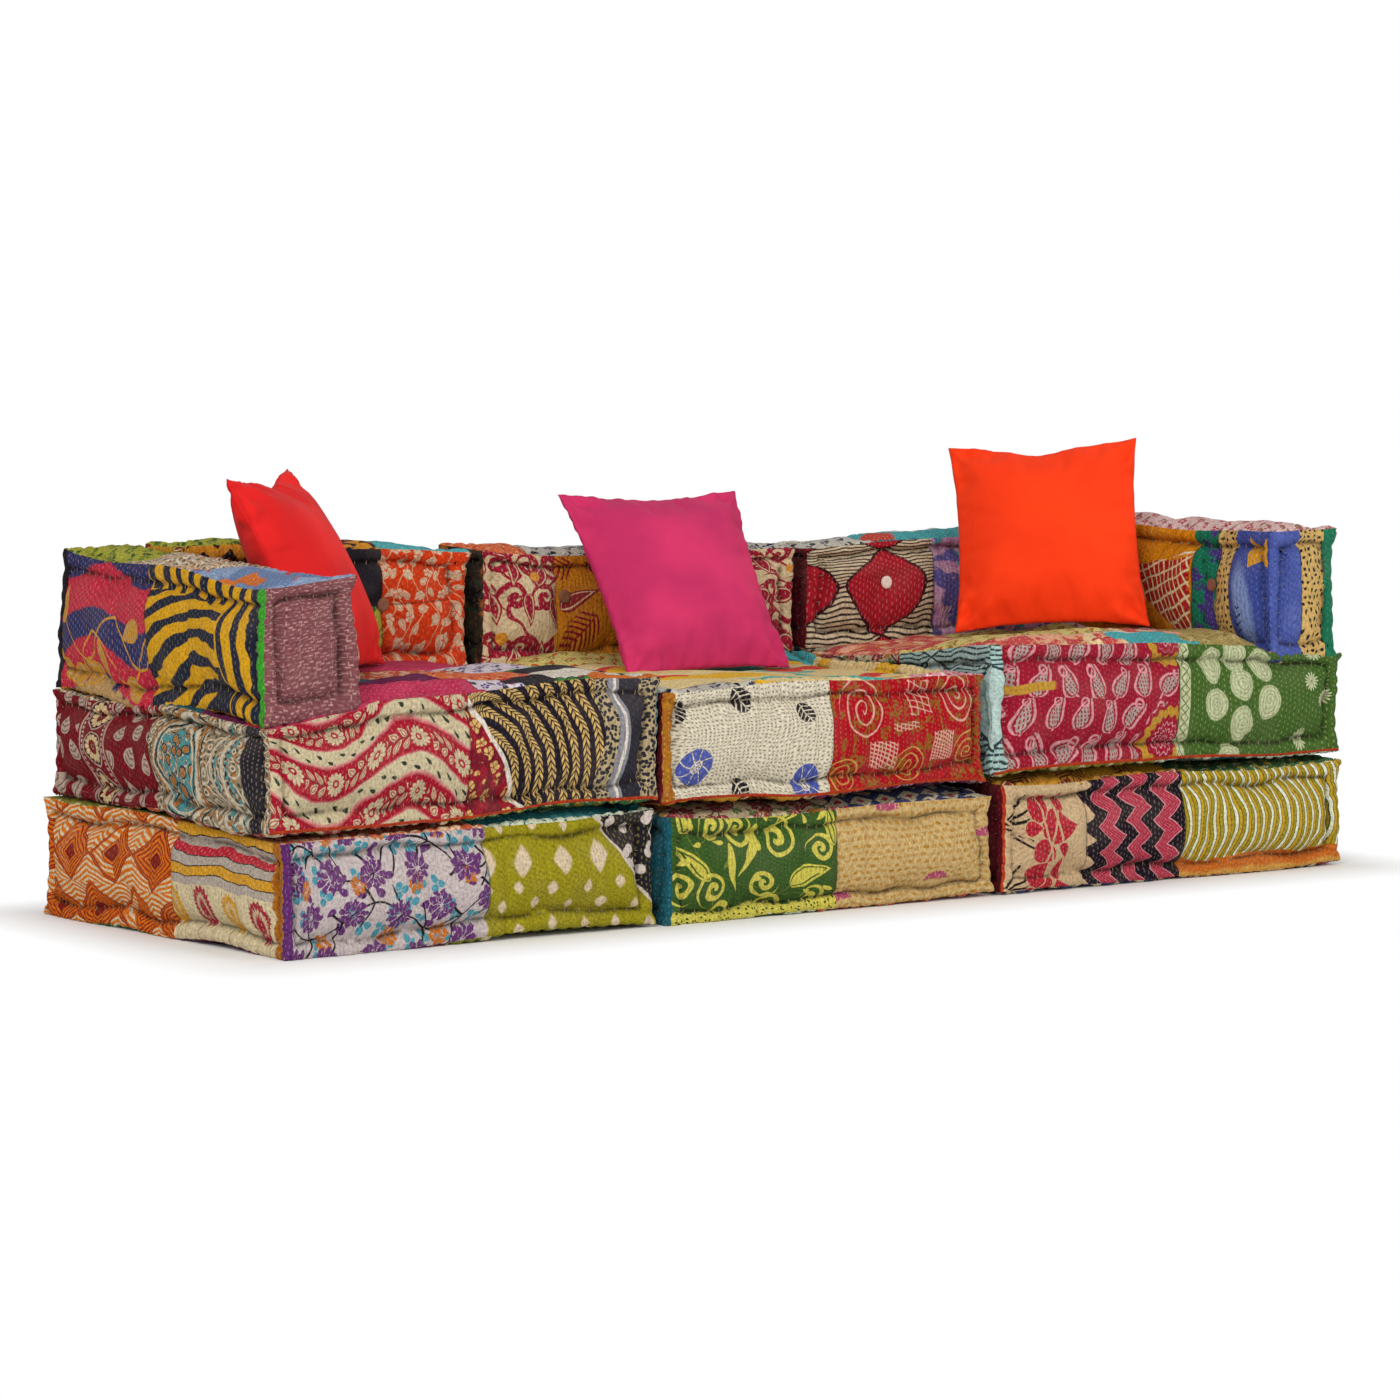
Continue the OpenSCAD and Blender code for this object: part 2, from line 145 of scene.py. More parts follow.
def cushionMesh(name, low, high, bulge, crown, patches):
    # a closed box of six quilted panels with rolled edges, its grid lines set to the patches' seams
    low, high = np.array(low), np.array(high)
    size = high - low
    r = rolledEdge["radius"]
    start, crease = r * rolledEdge["panel"], r * rolledEdge["crease"]
    joins = [set(), set(), set()]
    for panel, rows in patches.items():
        axis, sign, uAxis, uSign, vAxis = panelAxes[panel]
        for upTo, row in rows:
            joins[vAxis].add(upTo * mm)
            for patch, end in row:
                joins[uAxis].add(end * mm if uSign > 0 else size[uAxis] - end * mm)
    lines = [gridLines(size[k], sorted(joins[k])) for k in range(3)]
    index, columns = {}, {"co": [], "panelNormal": [], "edgeGap": [], "along": [], "seamGap": []}
    faces, uvs, spots, creases = [], [], [], []
    for number, (panel, (axis, sign, uAxis, uSign, vAxis)) in enumerate(panelAxes.items()):
        us, vs = lines[uAxis], lines[vAxis]
        rows = patches.get(panel, [])
        reach = bulge if axis < 2 else crown[1 if sign > 0 else 0]
        rises = panelCloth["rise"], panelCloth["rise" if axis == 2 else "sideRise"]
        ids = np.zeros((len(us), len(vs)), int)
        for a, u in enumerate(us):
            for b, v in enumerate(vs):
                key = [0, 0, 0]
                key[uAxis], key[vAxis], key[axis] = a, b, (len(lines[axis]) - 1 if sign > 0 else 0)
                key = tuple(key)
                if key not in index:
                    index[key] = len(index)
                    du, dv = min(u, size[uAxis] - u), min(v, size[vAxis] - v)
                    d = min(du, dv)
                    swell = 0.0
                    if d > crease:
                        swell = reach * (1 - math.exp(-(du - start) / rises[0]))
                        swell *= 1 - math.exp(-(dv - start) / rises[1])
                    place = np.zeros(3)
                    place[uAxis], place[vAxis] = low[uAxis] + u, low[vAxis] + v
                    out = float(edgeProfile(np.array(d))) + swell
                    place[axis] = high[axis] + out if sign > 0 else low[axis] - out
                    normal = np.zeros(3)
                    normal[axis] = sign
                    here = u if uSign > 0 else size[uAxis] - u
                    gaps = [0.1]
                    if d > crease:
                        for k, (upTo, row) in enumerate(rows):
                            if v <= upTo * mm and (k == 0 or v > rows[k - 1][0] * mm):
                                gaps += [abs(here - end * mm) for patch, end in row]
                            gaps.append(abs(v - upTo * mm))
                    columns["co"].append(place)
                    columns["panelNormal"].append(normal)
                    columns["edgeGap"].append(d)
                    columns["along"].append(place[vAxis] if du < dv else place[uAxis])
                    columns["seamGap"].append(min(gaps))
                ids[a, b] = index[key]
        for inner in (4, 6):      # the lines on either side of the crease
            a, b = ids[inner:-inner, inner:-inner][[0, -1]], ids[inner:-inner, inner:-inner][:, [0, -1]]
            creases.append(np.concatenate([a[0], b[1:, 1], a[1, ::-1][1:], b[::-1, 0][1:-1]]))
        across = np.zeros(3)
        across[uAxis] = 1
        upward = np.zeros(3)
        upward[vAxis] = 1
        outward = np.cross(across, upward)[axis] * sign > 0
        for a in range(len(us) - 1):
            for b in range(len(vs) - 1):
                corners = [(a, b), (a + 1, b), (a + 1, b + 1), (a, b + 1)]
                if not outward:
                    corners.reverse()
                faces.append([ids[c] for c in corners])
                for c in corners:
                    u = us[c[0]]
                    uvs.append((u if uSign > 0 else size[uAxis] - u, vs[c[1]]))
                mid = (us[a] + us[a + 1]) / 2
                spots.append((number, mid if uSign > 0 else size[uAxis] - mid, (vs[b] + vs[b + 1]) / 2))
    mesh = bpy.data.meshes.new(name)
    mesh.from_pydata(columns.pop("co"), [], faces)
    mesh.uv_layers.new(name="UVMap").data.foreach_set("uv", np.array(uvs, np.float32).ravel())
    for label, values in columns.items():
        vector = label == "panelNormal"
        attribute = mesh.attributes.new(label, "FLOAT_VECTOR" if vector else "FLOAT", "POINT")
        attribute.data.foreach_set("vector" if vector else "value", np.array(values, np.float32).ravel())
    return mesh, spots, creases


def readPoints(mesh):
    co = np.zeros(len(mesh.vertices) * 3, np.float32)
    mesh.vertices.foreach_get("co", co)
    return co.reshape(-1, 3)


def writePoints(mesh, points):
    mesh.vertices.foreach_set("co", np.ascontiguousarray(points, np.float32).ravel())
    mesh.update()


def readAttribute(mesh, name, width=1):
    values = np.zeros(len(mesh.vertices) * width, np.float32)
    mesh.attributes[name].data.foreach_get("vector" if width == 3 else "value", values)
    return values.reshape(-1, width) if width > 1 else values


def newObject(name, mesh):
    piece = bpy.data.objects.new(name, mesh)
    scene.collection.objects.link(piece)
    return piece


clothFeel = {              # quilted cotton over a soft filling, held along its rolls
    "quality": 5, "mass": 0.25, "tension_stiffness": 12, "compression_stiffness": 12, "shear_stiffness": 4,
    "bending_stiffness": 0.4, "use_pressure": True, "shrink_min": -0.03, "vertex_group_mass": "held",
}
lastFrame = 20


def settle(pieces, cap, pressure):
    # blows the pieces up a little as cloth, all together, and caps how far any point moves
    starts = [readPoints(piece.data).copy() for piece in pieces]
    for piece in pieces:
        cloth = piece.modifiers.new("cloth", "CLOTH")
        for key, value in clothFeel.items():
            setattr(cloth.settings, key, value)
        cloth.settings.uniform_pressure_force = pressure
        cloth.settings.effector_weights.gravity = 0
        cloth.collision_settings.use_collision = False
        cloth.point_cache.frame_start, cloth.point_cache.frame_end = 1, lastFrame
    for step in range(1, lastFrame + 1):
        scene.frame_set(step)
    graph = bpy.context.evaluated_depsgraph_get()
    for piece, start in zip(pieces, starts):
        moved = readPoints(piece.evaluated_get(graph).data) - start
        length = np.linalg.norm(moved, axis=1, keepdims=True)
        writePoints(piece.data, start + moved * np.minimum(1, cap / np.maximum(length, 1e-9)))
        piece.modifiers.clear()
    scene.frame_set(1)


def smoothed(piece):
    # one subdivision, applied
    layer = piece.modifiers.new("smooth", "SUBSURF")
    layer.levels = layer.render_levels = 1
    graph = bpy.context.evaluated_depsgraph_get()
    mesh = bpy.data.meshes.new_from_object(
        piece.evaluated_get(graph), preserve_all_data_layers=True, depsgraph=graph)
    old = piece.data
    piece.modifiers.clear()
    piece.data = mesh
    bpy.data.meshes.remove(old)
    mesh.name = piece.name
    mesh.polygons.foreach_set("use_smooth", [True] * len(mesh.polygons))
    piece.vertex_groups.clear()


def hold(piece, held):
    group = piece.vertex_groups.new(name="held")
    group.add(np.nonzero(held)[0].tolist(), 1.0, "REPLACE")


def ramp(values, start, end):
    # 0 before start, 1 after end, smooth between
    t = np.clip((values - start) / (end - start), 0, 1)
    return t * t * (3 - 2 * t)


def within(points, low, high, soft):
    # 1 over a footprint, falling to 0 over the soft distance outside it
    gaps = np.maximum(np.maximum(np.array(low[:2]) - points[:, :2], points[:, :2] - np.array(high[:2])), 0)
    return 1 - ramp(np.linalg.norm(gaps, axis=1), 0, soft)


mm = 0.001
bulgeOut = 0.014           # how far a side swells past its rolls
crowns = {"base": (0.004, 0.013), "seat": (0.013, 0.013), "arm": (0.005, 0.005), "back": (0.005, 0.005)}
cushions = {name: {} for name in (
    "base_left", "seat_left", "base_mid", "seat_mid", "base_right", "seat_right",
    "arm_left", "arm_right", "back_left", "back_mid", "back_right")}
for name, cushion in cushions.items():
    lowest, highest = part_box(name + "_cover")
    down, up = crowns[name.split("_")[0]]
    cushion["low"] = np.array(lowest) + (bulgeOut, bulgeOut, down)
    cushion["high"] = np.array(highest) - (bulgeOut, bulgeOut, up)
    cushion["crown"] = (down, up)

# how the photo's poufs have slumped in front, each at a column's left end, middle and right end
slumps = {                 # how far the joint between the two layers rises
    "left": (-0.016, -0.006, 0.008), "mid": (-0.007, -0.009, -0.004), "right": (0.006, 0.004, 0.0)}
openings = {               # how far a base sinks below that joint
    "left": (-0.006, 0.0, 0.003), "mid": (0.002, 0.006, 0.010), "right": (0.0, 0.0, 0.0)}
frontTops = {              # how far a seat's top rises
    "left": (0.006, 0.020, 0.029), "mid": (0.012, 0.006, 0.0), "right": (0.046, 0.044, 0.008)}
topSags = {                # how far a bolster's top sags, at its run's start, middle and end
    "arm_left": (0.0, 0.0, -0.018), "arm_right": (-0.014, -0.004, 0.003),
    "back_left": (-0.018, -0.014, 0.010), "back_mid": (0.010, 0.021, 0.024),
    "back_right": (0.034, 0.016, 0.004)}
leans = {                  # how far the rolls at each end lean towards the cushion that they stand against
    "base_left": (0.025, 0.009), "base_mid": (0.009, 0.009), "base_right": (0.009, 0.018),
    "seat_left": (0.004, 0.009), "seat_mid": (0.009, -0.012), "seat_right": (0.026, 0.018),
    "arm_left": (0, 0.020), "arm_right": (0, 0.006),
    "back_left": (0.011, 0.014), "back_mid": (0.010, 0.010), "back_right": (0.014, 0.011)}
pressing = {
    "armSink": 0.017,      # how deep an arm sits in its seat
    "backSink": 0.008,
    "armRoll": 0.023,      # how far an arm's lower rolls sag past its underside
    "backRoll": 0.021,
    "layerRoll": 0.0130,   # how far the rolls between the two layers close up
    "frontGap": 0.0060,    # they stay this much further apart in front
    "floorRoll": 0.0035,
    "seatSwell": {"seat_left": -0.005, "seat_mid": -0.028, "seat_right": -0.006},
    "dent": 0.05,          # how far round a bolster its seat sinks with it
    "clear": 0.13,         # and how far from it the seat has its full height
    "offFloor": 0.0006,
    "slack": {"back": 0.007, "seat_right": 0.011},     # how far leaning ends may pass their plane
    "cornerSag": 0.022,    # how much deeper the left arm's front corner sits
    "rearLean": 0.024,     # and how far the top of its rear end leans in
}
tuftIn = 0.190             # from a bolster's end to its nearest tuft
tufts = {}                 # bolster: its tufts' places and the way out of the cloth
for name in topSags:       # an arm's tufts face the seat along x, a back's along y
    axis, sign = (1, -1) if name.startswith("back") else (0, 1 if name == "arm_left" else -1)
    lowest, highest = (np.array(c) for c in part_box(name + "_cover"))
    run = 1 - axis
    outward = np.zeros(3)
    outward[axis] = sign
    tufts[name] = []
    for end in (lowest[run] + tuftIn, highest[run] - tuftIn):
        place = (lowest + highest) / 2
        place[run] = end
        place[axis] = (highest if sign > 0 else lowest)[axis] - sign * bulgeOut
        tufts[name].append((place, outward))


def bowed(values, points, axis, low, high):
    # a smooth bow through three values, at the start, middle and end of a cushion along one axis
    run = np.clip((points[:, axis] - low[axis]) / (high[axis] - low[axis]), 0, 1)
    return np.polyval(np.polyfit([0, 0.5, 1], values, 2), run)


def needlework(name, cushion, points, mesh):
    # what the thread does to a cushion: pinched rolls, gathers, seams, tufts, ears and edges that wander
    normal = readAttribute(mesh, "panelNormal", 3)
    edgeGap, along, seamGap = (readAttribute(mesh, n) for n in ("edgeGap", "along", "seamGap"))
    low, high, seed = cushion["low"], cushion["high"], cushion["seed"]
    middle = (low + high) / 2
    r = rolledEdge["radius"]
    start, crease = r * rolledEdge["panel"], r * rolledEdge["crease"]
    panel = ramp(edgeGap, start, 2.3 * r)
    phase = lumps(points, lumpSizes["gatherSpread"], seed + 1) * 2.4
    pinch = 0.5 + 0.5 * np.cos(2 * math.pi * along / rolledEdge["pinchEvery"] + phase * 0.3)
    fold = np.cos(2 * math.pi * along / panelCloth["gatherEvery"] + phase)
    out = -rolledEdge["pinch"] * pinch ** 3 * (1 - panel)
    stuffing = lumps(points, lumpSizes["stuffing"], seed + 8)
    out += rolledEdge["sausage"] * stuffing * (1 - panel) * ramp(edgeGap, 0, 0.008)
    strength = 0.35 + 0.65 * ramp(lumps(points, lumpSizes["gatherStrength"], seed + 2), -0.5, 0.6)
    gathered = panel * np.exp(-(edgeGap - start) / panelCloth["gatherReach"])
    out += panelCloth["gather"] * fold * strength * gathered
    out += panelCloth["lump"] * lumps(points, lumpSizes["filling"], seed + 3) * panel
    out += panelCloth["crumple"] * lumps(points, lumpSizes["crumple"], seed + 9)
    uneven = lumps(points, lumpSizes["creaseDepth"], seed + 4)
    out += rolledEdge["uneven"] * uneven * np.exp(-((edgeGap - crease) / 0.008) ** 2)
    out -= panelCloth["seamDip"] * np.exp(-(seamGap / 0.007) ** 2) * panel
    for place, way in tufts.get(name, []):
        side = points - place
        flat = side - np.outer(side @ way, way)
        away = np.linalg.norm(flat, axis=1)
        facing = np.clip(normal @ way, 0, 1)
        turn = np.arctan2(flat[:, 2], flat @ np.cross(way, (0, 0, 1)))
        folds = np.cos(tuftLook["folds"] * turn + seed) * np.minimum(1, away / 0.02)
        hollow = np.exp(-(away / tuftLook["wide"]) ** tuftLook["steep"])
        out -= tuftLook["deep"] * facing * (1 + tuftLook["foldDeep"] * folds) * hollow
    gaps = (high - low) / 2 - np.abs(points - middle) + np.abs(normal) * 9
    inward = np.eye(3)[np.argmin(gaps, axis=1)] * -np.sign(points - middle)
    points = points + normal * out[:, None]
    near = np.exp(-((edgeGap - crease) / 0.016) ** 2)
    stray = lumps(points, lumpSizes["creaseStray"], seed + 10)
    points += inward * (rolledEdge["stray"] * stray * near)[:, None]

    # corners stand out, and rolls wander
    reach = np.abs(points - middle) / ((high - low) / 2)
    corner = np.prod(ramp(reach, 1 - rolledEdge["earReach"] / ((high - low) / 2), 1.0), axis=1)
    points += np.sign(points - middle) * corner[:, None] * rolledEdge["ear"] * np.array([1, 1, 0.4])
    upright = np.prod(ramp(reach[:, :2], 1 - rolledEdge["roundReach"] / ((high - low) / 2)[:2], 1.0), axis=1)
    points[:, :2] -= np.sign(points - middle)[:, :2] * upright[:, None] * rolledEdge["round"]
    drift = np.stack([lumps(points, lumpSizes["wander"], seed + k) for k in (5, 6, 7)], axis=1)
    points += drift * rolledEdge["wander"] * np.array([0.7, 0.7, 1])
    return points


def pressDown(name, cushion, points):
    # what weight does: ends lean against their neighbours, and heights follow what lies below and above
    low, high = cushion["low"], cushion["high"]
    near = [1 - ramp(gap, 0.0, 0.045 + 2 * abs(lean))
            for gap, lean in zip((points[:, 0] - low[0], high[0] - points[:, 0]), leans[name])]
    if name == "arm_left":             # only its front, and more of it below
        near[1] *= 1 - ramp(points[:, 1], low[1] + 0.1, low[1] + 0.4)
        near[1] *= 1.5 - ramp(points[:, 2], low[2] + 0.06, high[2] - 0.02)
    if name == "base_left":            # its outer side is skewed: out behind and in at the front
        near[0] *= 2 * ramp(points[:, 1], low[1], high[1]) - 1
    points[:, 0] += near[1] * leans[name][1] - near[0] * leans[name][0]

    # sinking
    share = (points[:, 2] - (low[2] + high[2]) / 2) / (high[2] - low[2]) * 2
    upper, lower = np.clip(share, 0, 1.2), np.clip(-share, 0, 1.2)
    sideGap = np.min(np.minimum(points[:, :2] - low[:2], high[:2] - points[:, :2]), axis=1)
    rim = 1 - ramp(sideGap, 0.025, rolledEdge["reach"])
    kind, column = name.split("_")
    front = 1 - ramp(points[:, 1], low[1] + 0.01, low[1] + 0.08)
    layer = pressing["layerRoll"] - pressing["frontGap"] * front
    forward = 1 - ramp(points[:, 1], low[1], low[1] + 0.5)
    joint, top, opening = (bowed(table[column], points, 0, low, high) * forward
                           for table in (slumps, frontTops, openings))
    height = np.clip(share / 2 + 0.5, 0, 1)
    if kind == "base":
        points[:, 2] += (joint - opening) * height
    elif kind == "seat":
        points[:, 2] += joint * (1 - height) + top * height
    arm = cushions["arm_left"]
    corner = 1 - ramp(points[:, 0], arm["low"][0], arm["high"][0])
    corner *= 1 - ramp(points[:, 1], arm["low"][1], arm["low"][1] + 0.3)
    if name == "arm_left":
        points[:, 2] -= pressing["cornerSag"] * corner * (1 - height * 0.8)
        points[:, 1] -= pressing["rearLean"] * ramp(points[:, 1], high[1] - 0.1, high[1]) * height
    if name in topSags:
        points[:, 2] -= bowed(topSags[name], points, 0 if kind == "back" else 1, low, high) * upper
    if kind == "base":
        points[:, 2] += layer * upper * rim - pressing["floorRoll"] * lower * rim
    elif kind == "seat":
        points[:, 2] -= layer * lower * rim
        clear = np.ones(len(points))
        for bolster, other in cushions.items():
            if bolster.split("_")[0] in ("arm", "back"):
                sink = pressing["armSink" if bolster.startswith("arm") else "backSink"]
                weight = within(points, other["low"], other["high"], pressing["dent"])
                points[:, 2] -= sink * upper * weight
                clear *= 1 - within(points, other["low"], other["high"], pressing["clear"])
        points[:, 2] += pressing["seatSwell"][name] * upper * clear * (0.25 + 0.75 * (1 - rim))
        if name == "seat_left":
            points[:, 2] -= pressing["cornerSag"] * corner * upper
    else:
        sink, roll = pressing[kind + "Sink"], pressing[kind + "Roll"]
        points[:, 2] -= (sink + roll * rim) * lower

    # nothing passes the plane that it shares with the next cushion or the floor
    if kind == "base":
        points[:, 2] = np.maximum(points[:, 2], pressing["offFloor"])
        points[:, 2] = np.minimum(points[:, 2], high[2] + cushion["crown"][1] + joint)
    if kind == "seat":
        points[:, 2] = np.maximum(points[:, 2], low[2] - cushion["crown"][0] + joint)
    room = bulgeOut + pressing["slack"].get(kind, pressing["slack"].get(name, 0))
    if leans[name][0] and (kind == "back" or not name.endswith("_left")):
        points[:, 0] = np.maximum(points[:, 0], low[0] - (bulgeOut if name == "back_left" else room))
    if leans[name][1] and name != "arm_left" and (kind == "back" or not name.endswith("_right")):
        points[:, 0] = np.minimum(points[:, 0], high[0] + (bulgeOut if name == "back_right" else room))
    behind = points[:, 1] > cushions["back_left"]["low"][1] - 0.03
    if name == "arm_left":
        points[:, 0] = np.where(behind, np.minimum(points[:, 0], high[0] + bulgeOut), points[:, 0])
    if name == "arm_right":
        points[:, 0] = np.where(behind, np.maximum(points[:, 0], low[0] - bulgeOut), points[:, 0])
    return points


# the cloths of each panel in rows from the bottom up, split by "/": how far up a row reaches, then each
# cloth and how far along it reaches, in mm; what has no number reaches the panel's edge
quilts = {
    "base_left": {
        "front": "purpleRoll 20, carnations 432, oliveDiamonds",
        "left": "orangeMaze 447, botehStripes",
    },
    "seat_left": {
        "front": "9: orangePiping / wavyGarlands 395, wheatArcs",
        "left": "crimsonDrops 395, turquoisePaisley",
        "top": (
            "95: magentaTop 450, violetTop 520, darkTop / "
            "230: plumTop 400, coralTop 600, darkTop / "
            "420: tealStrip 360, coralPrint 560, violetTop / "
            "tanPrintTop 400, magentaTop"),
    },
    "base_mid": {
        "left": "turquoiseStrokes 500, tealStrip",
        "front": "tealStrip 8, greenSwirls 373, tanDashes",
    },
    "seat_mid": {
        "left": "mustardStrip 560, crimsonRoll",
        "front": "9: orangePiping / mustardStrip 24, ivoryWheels 359, crimsonSpirals",
        "top": (
            "120: navySprigTop 200, brightTop 540, pinkTop / "
            "520: brightTop / "
            "oliveTop 380, turquoiseTop"),
    },
    "base_right": {
        "left": "plumPrint 500, crimsonRoll",
        "front": "orangePiping 12, redTulips 192, zigzags 439, oliveStripes",
    },
    "seat_right": {
        "left": "beigeVines 500, paleTealStrip",
        "front": "9: orangePiping / paleTealStrip 24, crimsonPaisleys 423, greenMedallions",
        "top": (
            "90: peachTop 300, turquoiseTop 480, tanTop / "
            "300: oliveTop 330, peachTop 520, tanTop / "
            "peachTop 300, oliveTop 600, roseTop"),
    },
    "arm_left": {
        "left": "blackRoll 24, navyLeaves 375, zebra",
        "front": "mauveDashes",
        "top": "260: blueGreyTop / 520: tanPrintTop / limeTop",
    },
    "arm_right": {
        "left": "mustardPatches 540, tealTuft 615, tanSpots 668, blueBow",
        "front": "bluePlain 78, tanSpots 136, greenRoll",
        "top": "roseTop",
    },
    "back_left": {
        "front": "105: harlequin 300, limeTop 408, orangeVines / harlequin 300, barePatch 408, orangeVines",
        "top": "limeTop 150, harlequin 420, turquoiseTop",
    },
    "back_mid": {
        "left": "darkFoliage",
        "front": "redSwirls 160, mustardFeathers 560, redSwirls",
        "top": "coralTop 120, navySprigTop",
    },
    "back_right": {
        "left": "crimsonRoll",
        "front": "ogees 300, pinkFloral",
        "top": "navySprigTop 160, turquoiseTop",
    },
}
spareCloths = (            # for the panels that the photo doesn't show
    "coralPrint", "turquoiseStrokes", "olivePrint", "plumPrint",
    "mustardPaisley", "greenDots", "beigeVines", "navyCheck")
everywhere = 9999


def readRows(text):
    # each row's upper end, then its cloths, each with where it ends
    rows = []
    for row in text.split(" / "):
        upTo, _, cells = row.rpartition(": ")
        cells = [(cell + f" {everywhere}").split()[:2] for cell in cells.split(", ")]
        rows.append((float(upTo or everywhere), [(cloth, float(end)) for cloth, end in cells]))
    return rows


for number, (name, cushion) in enumerate(cushions.items()):
    cushion["seed"] = 100 + 10 * number
    size = cushion["high"] - cushion["low"]
    for k, panel in enumerate(panelNames):
        if panel in quilts[name]:
            quilts[name][panel] = readRows(quilts[name][panel])
            continue
        axis, sign, uAxis, uSign, vAxis = panelAxes[panel]
        width, first = size[uAxis] / mm, number * 3 + k * 2
        cloths = [spareCloths[(first + j) % len(spareCloths)] for j in range(4)]
        if width < 300:
            quilts[name][panel] = [(everywhere, [(cloths[0], everywhere)])]
        elif axis == 2 and size[vAxis] / mm > 300:
            quilts[name][panel] = [
                (size[vAxis] / mm * 0.48, [(cloths[0], width * 0.55), (cloths[1], everywhere)]),
                (everywhere, [(cloths[2], width * 0.4), (cloths[3], everywhere)])]
        else:
            quilts[name][panel] = [(everywhere, [(cloths[0], width * 0.53), (cloths[1], everywhere)])]
    mesh, cushion["spots"], cushion["creases"] = cushionMesh(
        name, cushion["low"], cushion["high"], bulgeOut * 0.8, cushion["crown"], quilts[name])
    piece = cushion["piece"] = newObject(name + "_quilt", mesh)
    hold(piece, readAttribute(mesh, "edgeGap") < rolledEdge["held"] * rolledEdge["radius"])
print("cushions cut")

pillowLook = {
    "width": 0.388, "thick": 0.100, "steps": 40,
    "nip": 0.011,          # how far the middle of each side draws in
    "ear": 0.005,          # how far each corner draws out
    "lump": 0.0026,        # soft lumps of the filling
    "lumpSize": 0.09,
    "pucker": 0.0028,      # of the knife edge
    "puckerEvery": 0.030,
    "puckerReach": 0.022,
    "fold": 0.0050,        # of the creases that run in from the corners
    "foldAt": 0.05,        # how far from its corner each is deepest
    "foldReach": 0.035,
    "wave": 0.004,         # the knife edge isn't quite flat
    "core": (0.86, 0.7, 0.86),         # the filling's share of the cover
    # where the top edge dips, and how deep
    "chops": {"red": (0.03, 0.022), "magenta": (0.0, 0.004), "orange": (-0.01, 0.014)},
    "chopWide": 0.055,
    # degrees back, then round
    "leans": {"red": (27, 45), "magenta": (35, 0), "orange": (24, -38)},
    "moved": {"red": (0, 0, 0.008), "magenta": (-0.008, -0.012, -0.026), "orange": (0.012, -0.03, 0.022)},
    # how far each corner is pulled across and up: bottom left, bottom right, top left, top right
    "corners": {
        "red": ((-0.045, 0), (0, 0), (-0.018, 0.012), (-0.012, 0.012)),
        "magenta": ((-0.004, -0.018), (-0.015, -0.006), (-0.006, 0.012), (0.018, 0.008)),
        "orange": ((0.022, -0.014), (0.020, -0.001), (0.005, -0.008), (-0.006, 0.015)),
    },
}


def pillowMesh(name, look):
    # two squares of cotton sewn together round their edge, as a flat lens with drawn-out corners
    n, half = look["steps"], look["width"] / 2
    index, points, edgeGap, faces, uvs = {}, [], [], [], []
    for face in (-1, 1):
        for i in range(n + 1):
            for j in range(n + 1):
                edge = i in (0, n) or j in (0, n)
                key = (i, j, 0 if edge else face)
                if key not in index:
                    index[key] = len(points)
                    u, v = 2 * i / n - 1, 2 * j / n - 1
                    ear = look["ear"] * abs(u * v) ** 9
                    points.append((
                        (half - look["nip"] * (1 - v * v) + ear) * u,
                        face * look["thick"] / 2 * ((1 - u * u) * (1 - v * v)) ** 0.5,
                        (half - look["nip"] * (1 - u * u) + ear) * v))
                    edgeGap.append((1 - max(abs(u), abs(v))) * half)
        for i in range(n):
            for j in range(n):
                corners = [(i, j), (i + 1, j), (i + 1, j + 1), (i, j + 1)]
                if face > 0:
                    corners.reverse()
                faces.append([index[(a, b, 0 if a in (0, n) or b in (0, n) else face)] for a, b in corners])
                uvs += [(a / n * 2 * half, b / n * 2 * half) for a, b in corners]
    mesh = bpy.data.meshes.new(name)
    mesh.from_pydata(points, [], faces)
    mesh.uv_layers.new(name="UVMap").data.foreach_set("uv", np.array(uvs, np.float32).ravel())
    mesh.attributes.new("edgeGap", "FLOAT", "POINT").data.foreach_set("value", np.array(edgeGap, np.float32))
    return mesh


pillows = {}
for name in pillowLook["leans"]:
    mesh = pillowMesh(f"pillow_{name}", pillowLook)
    pillows[name] = newObject(f"pillow_{name}_cotton", mesh)
    hold(pillows[name], readAttribute(mesh, "edgeGap") < 0.001)

settle([c["piece"] for c in cushions.values()], cap=0.009, pressure=4)
settle(list(pillows.values()), cap=0.024, pressure=5)
print("cloth settled")

fillings = {}
waddingGap = 0.052         # how much smaller a filling is than its cover, so that it clears every crease


def fillWith(name, body, base, points):
    # the loose filling: the unsmoothed mesh of its cover, shrunk clear of every crease
    base.name = name
    writePoints(base, points)
    filling = fillings[body] = newObject(name, base)
    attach(filling, body)
    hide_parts(body + "_filling")


for name, cushion in cushions.items():
    piece = cushion["piece"]
    base = piece.data.copy()
    smoothed(piece)
    points = needlework(name, cushion, readPoints(piece.data).astype(float), piece.data)
    writePoints(piece.data, pressDown(name, cushion, points))
    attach(piece, name)
    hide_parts(name + "_cover")
    points = readPoints(piece.data)[:len(base.vertices)].astype(float)
    lowest, highest = points.min(axis=0), points.max(axis=0)
    middle = (lowest + highest) / 2
    shrunk = (points - middle) * (1 - waddingGap / (highest - lowest)) + middle
    fillWith(name + "_wadding", name, base, shrunk)
print("cushions shaped")

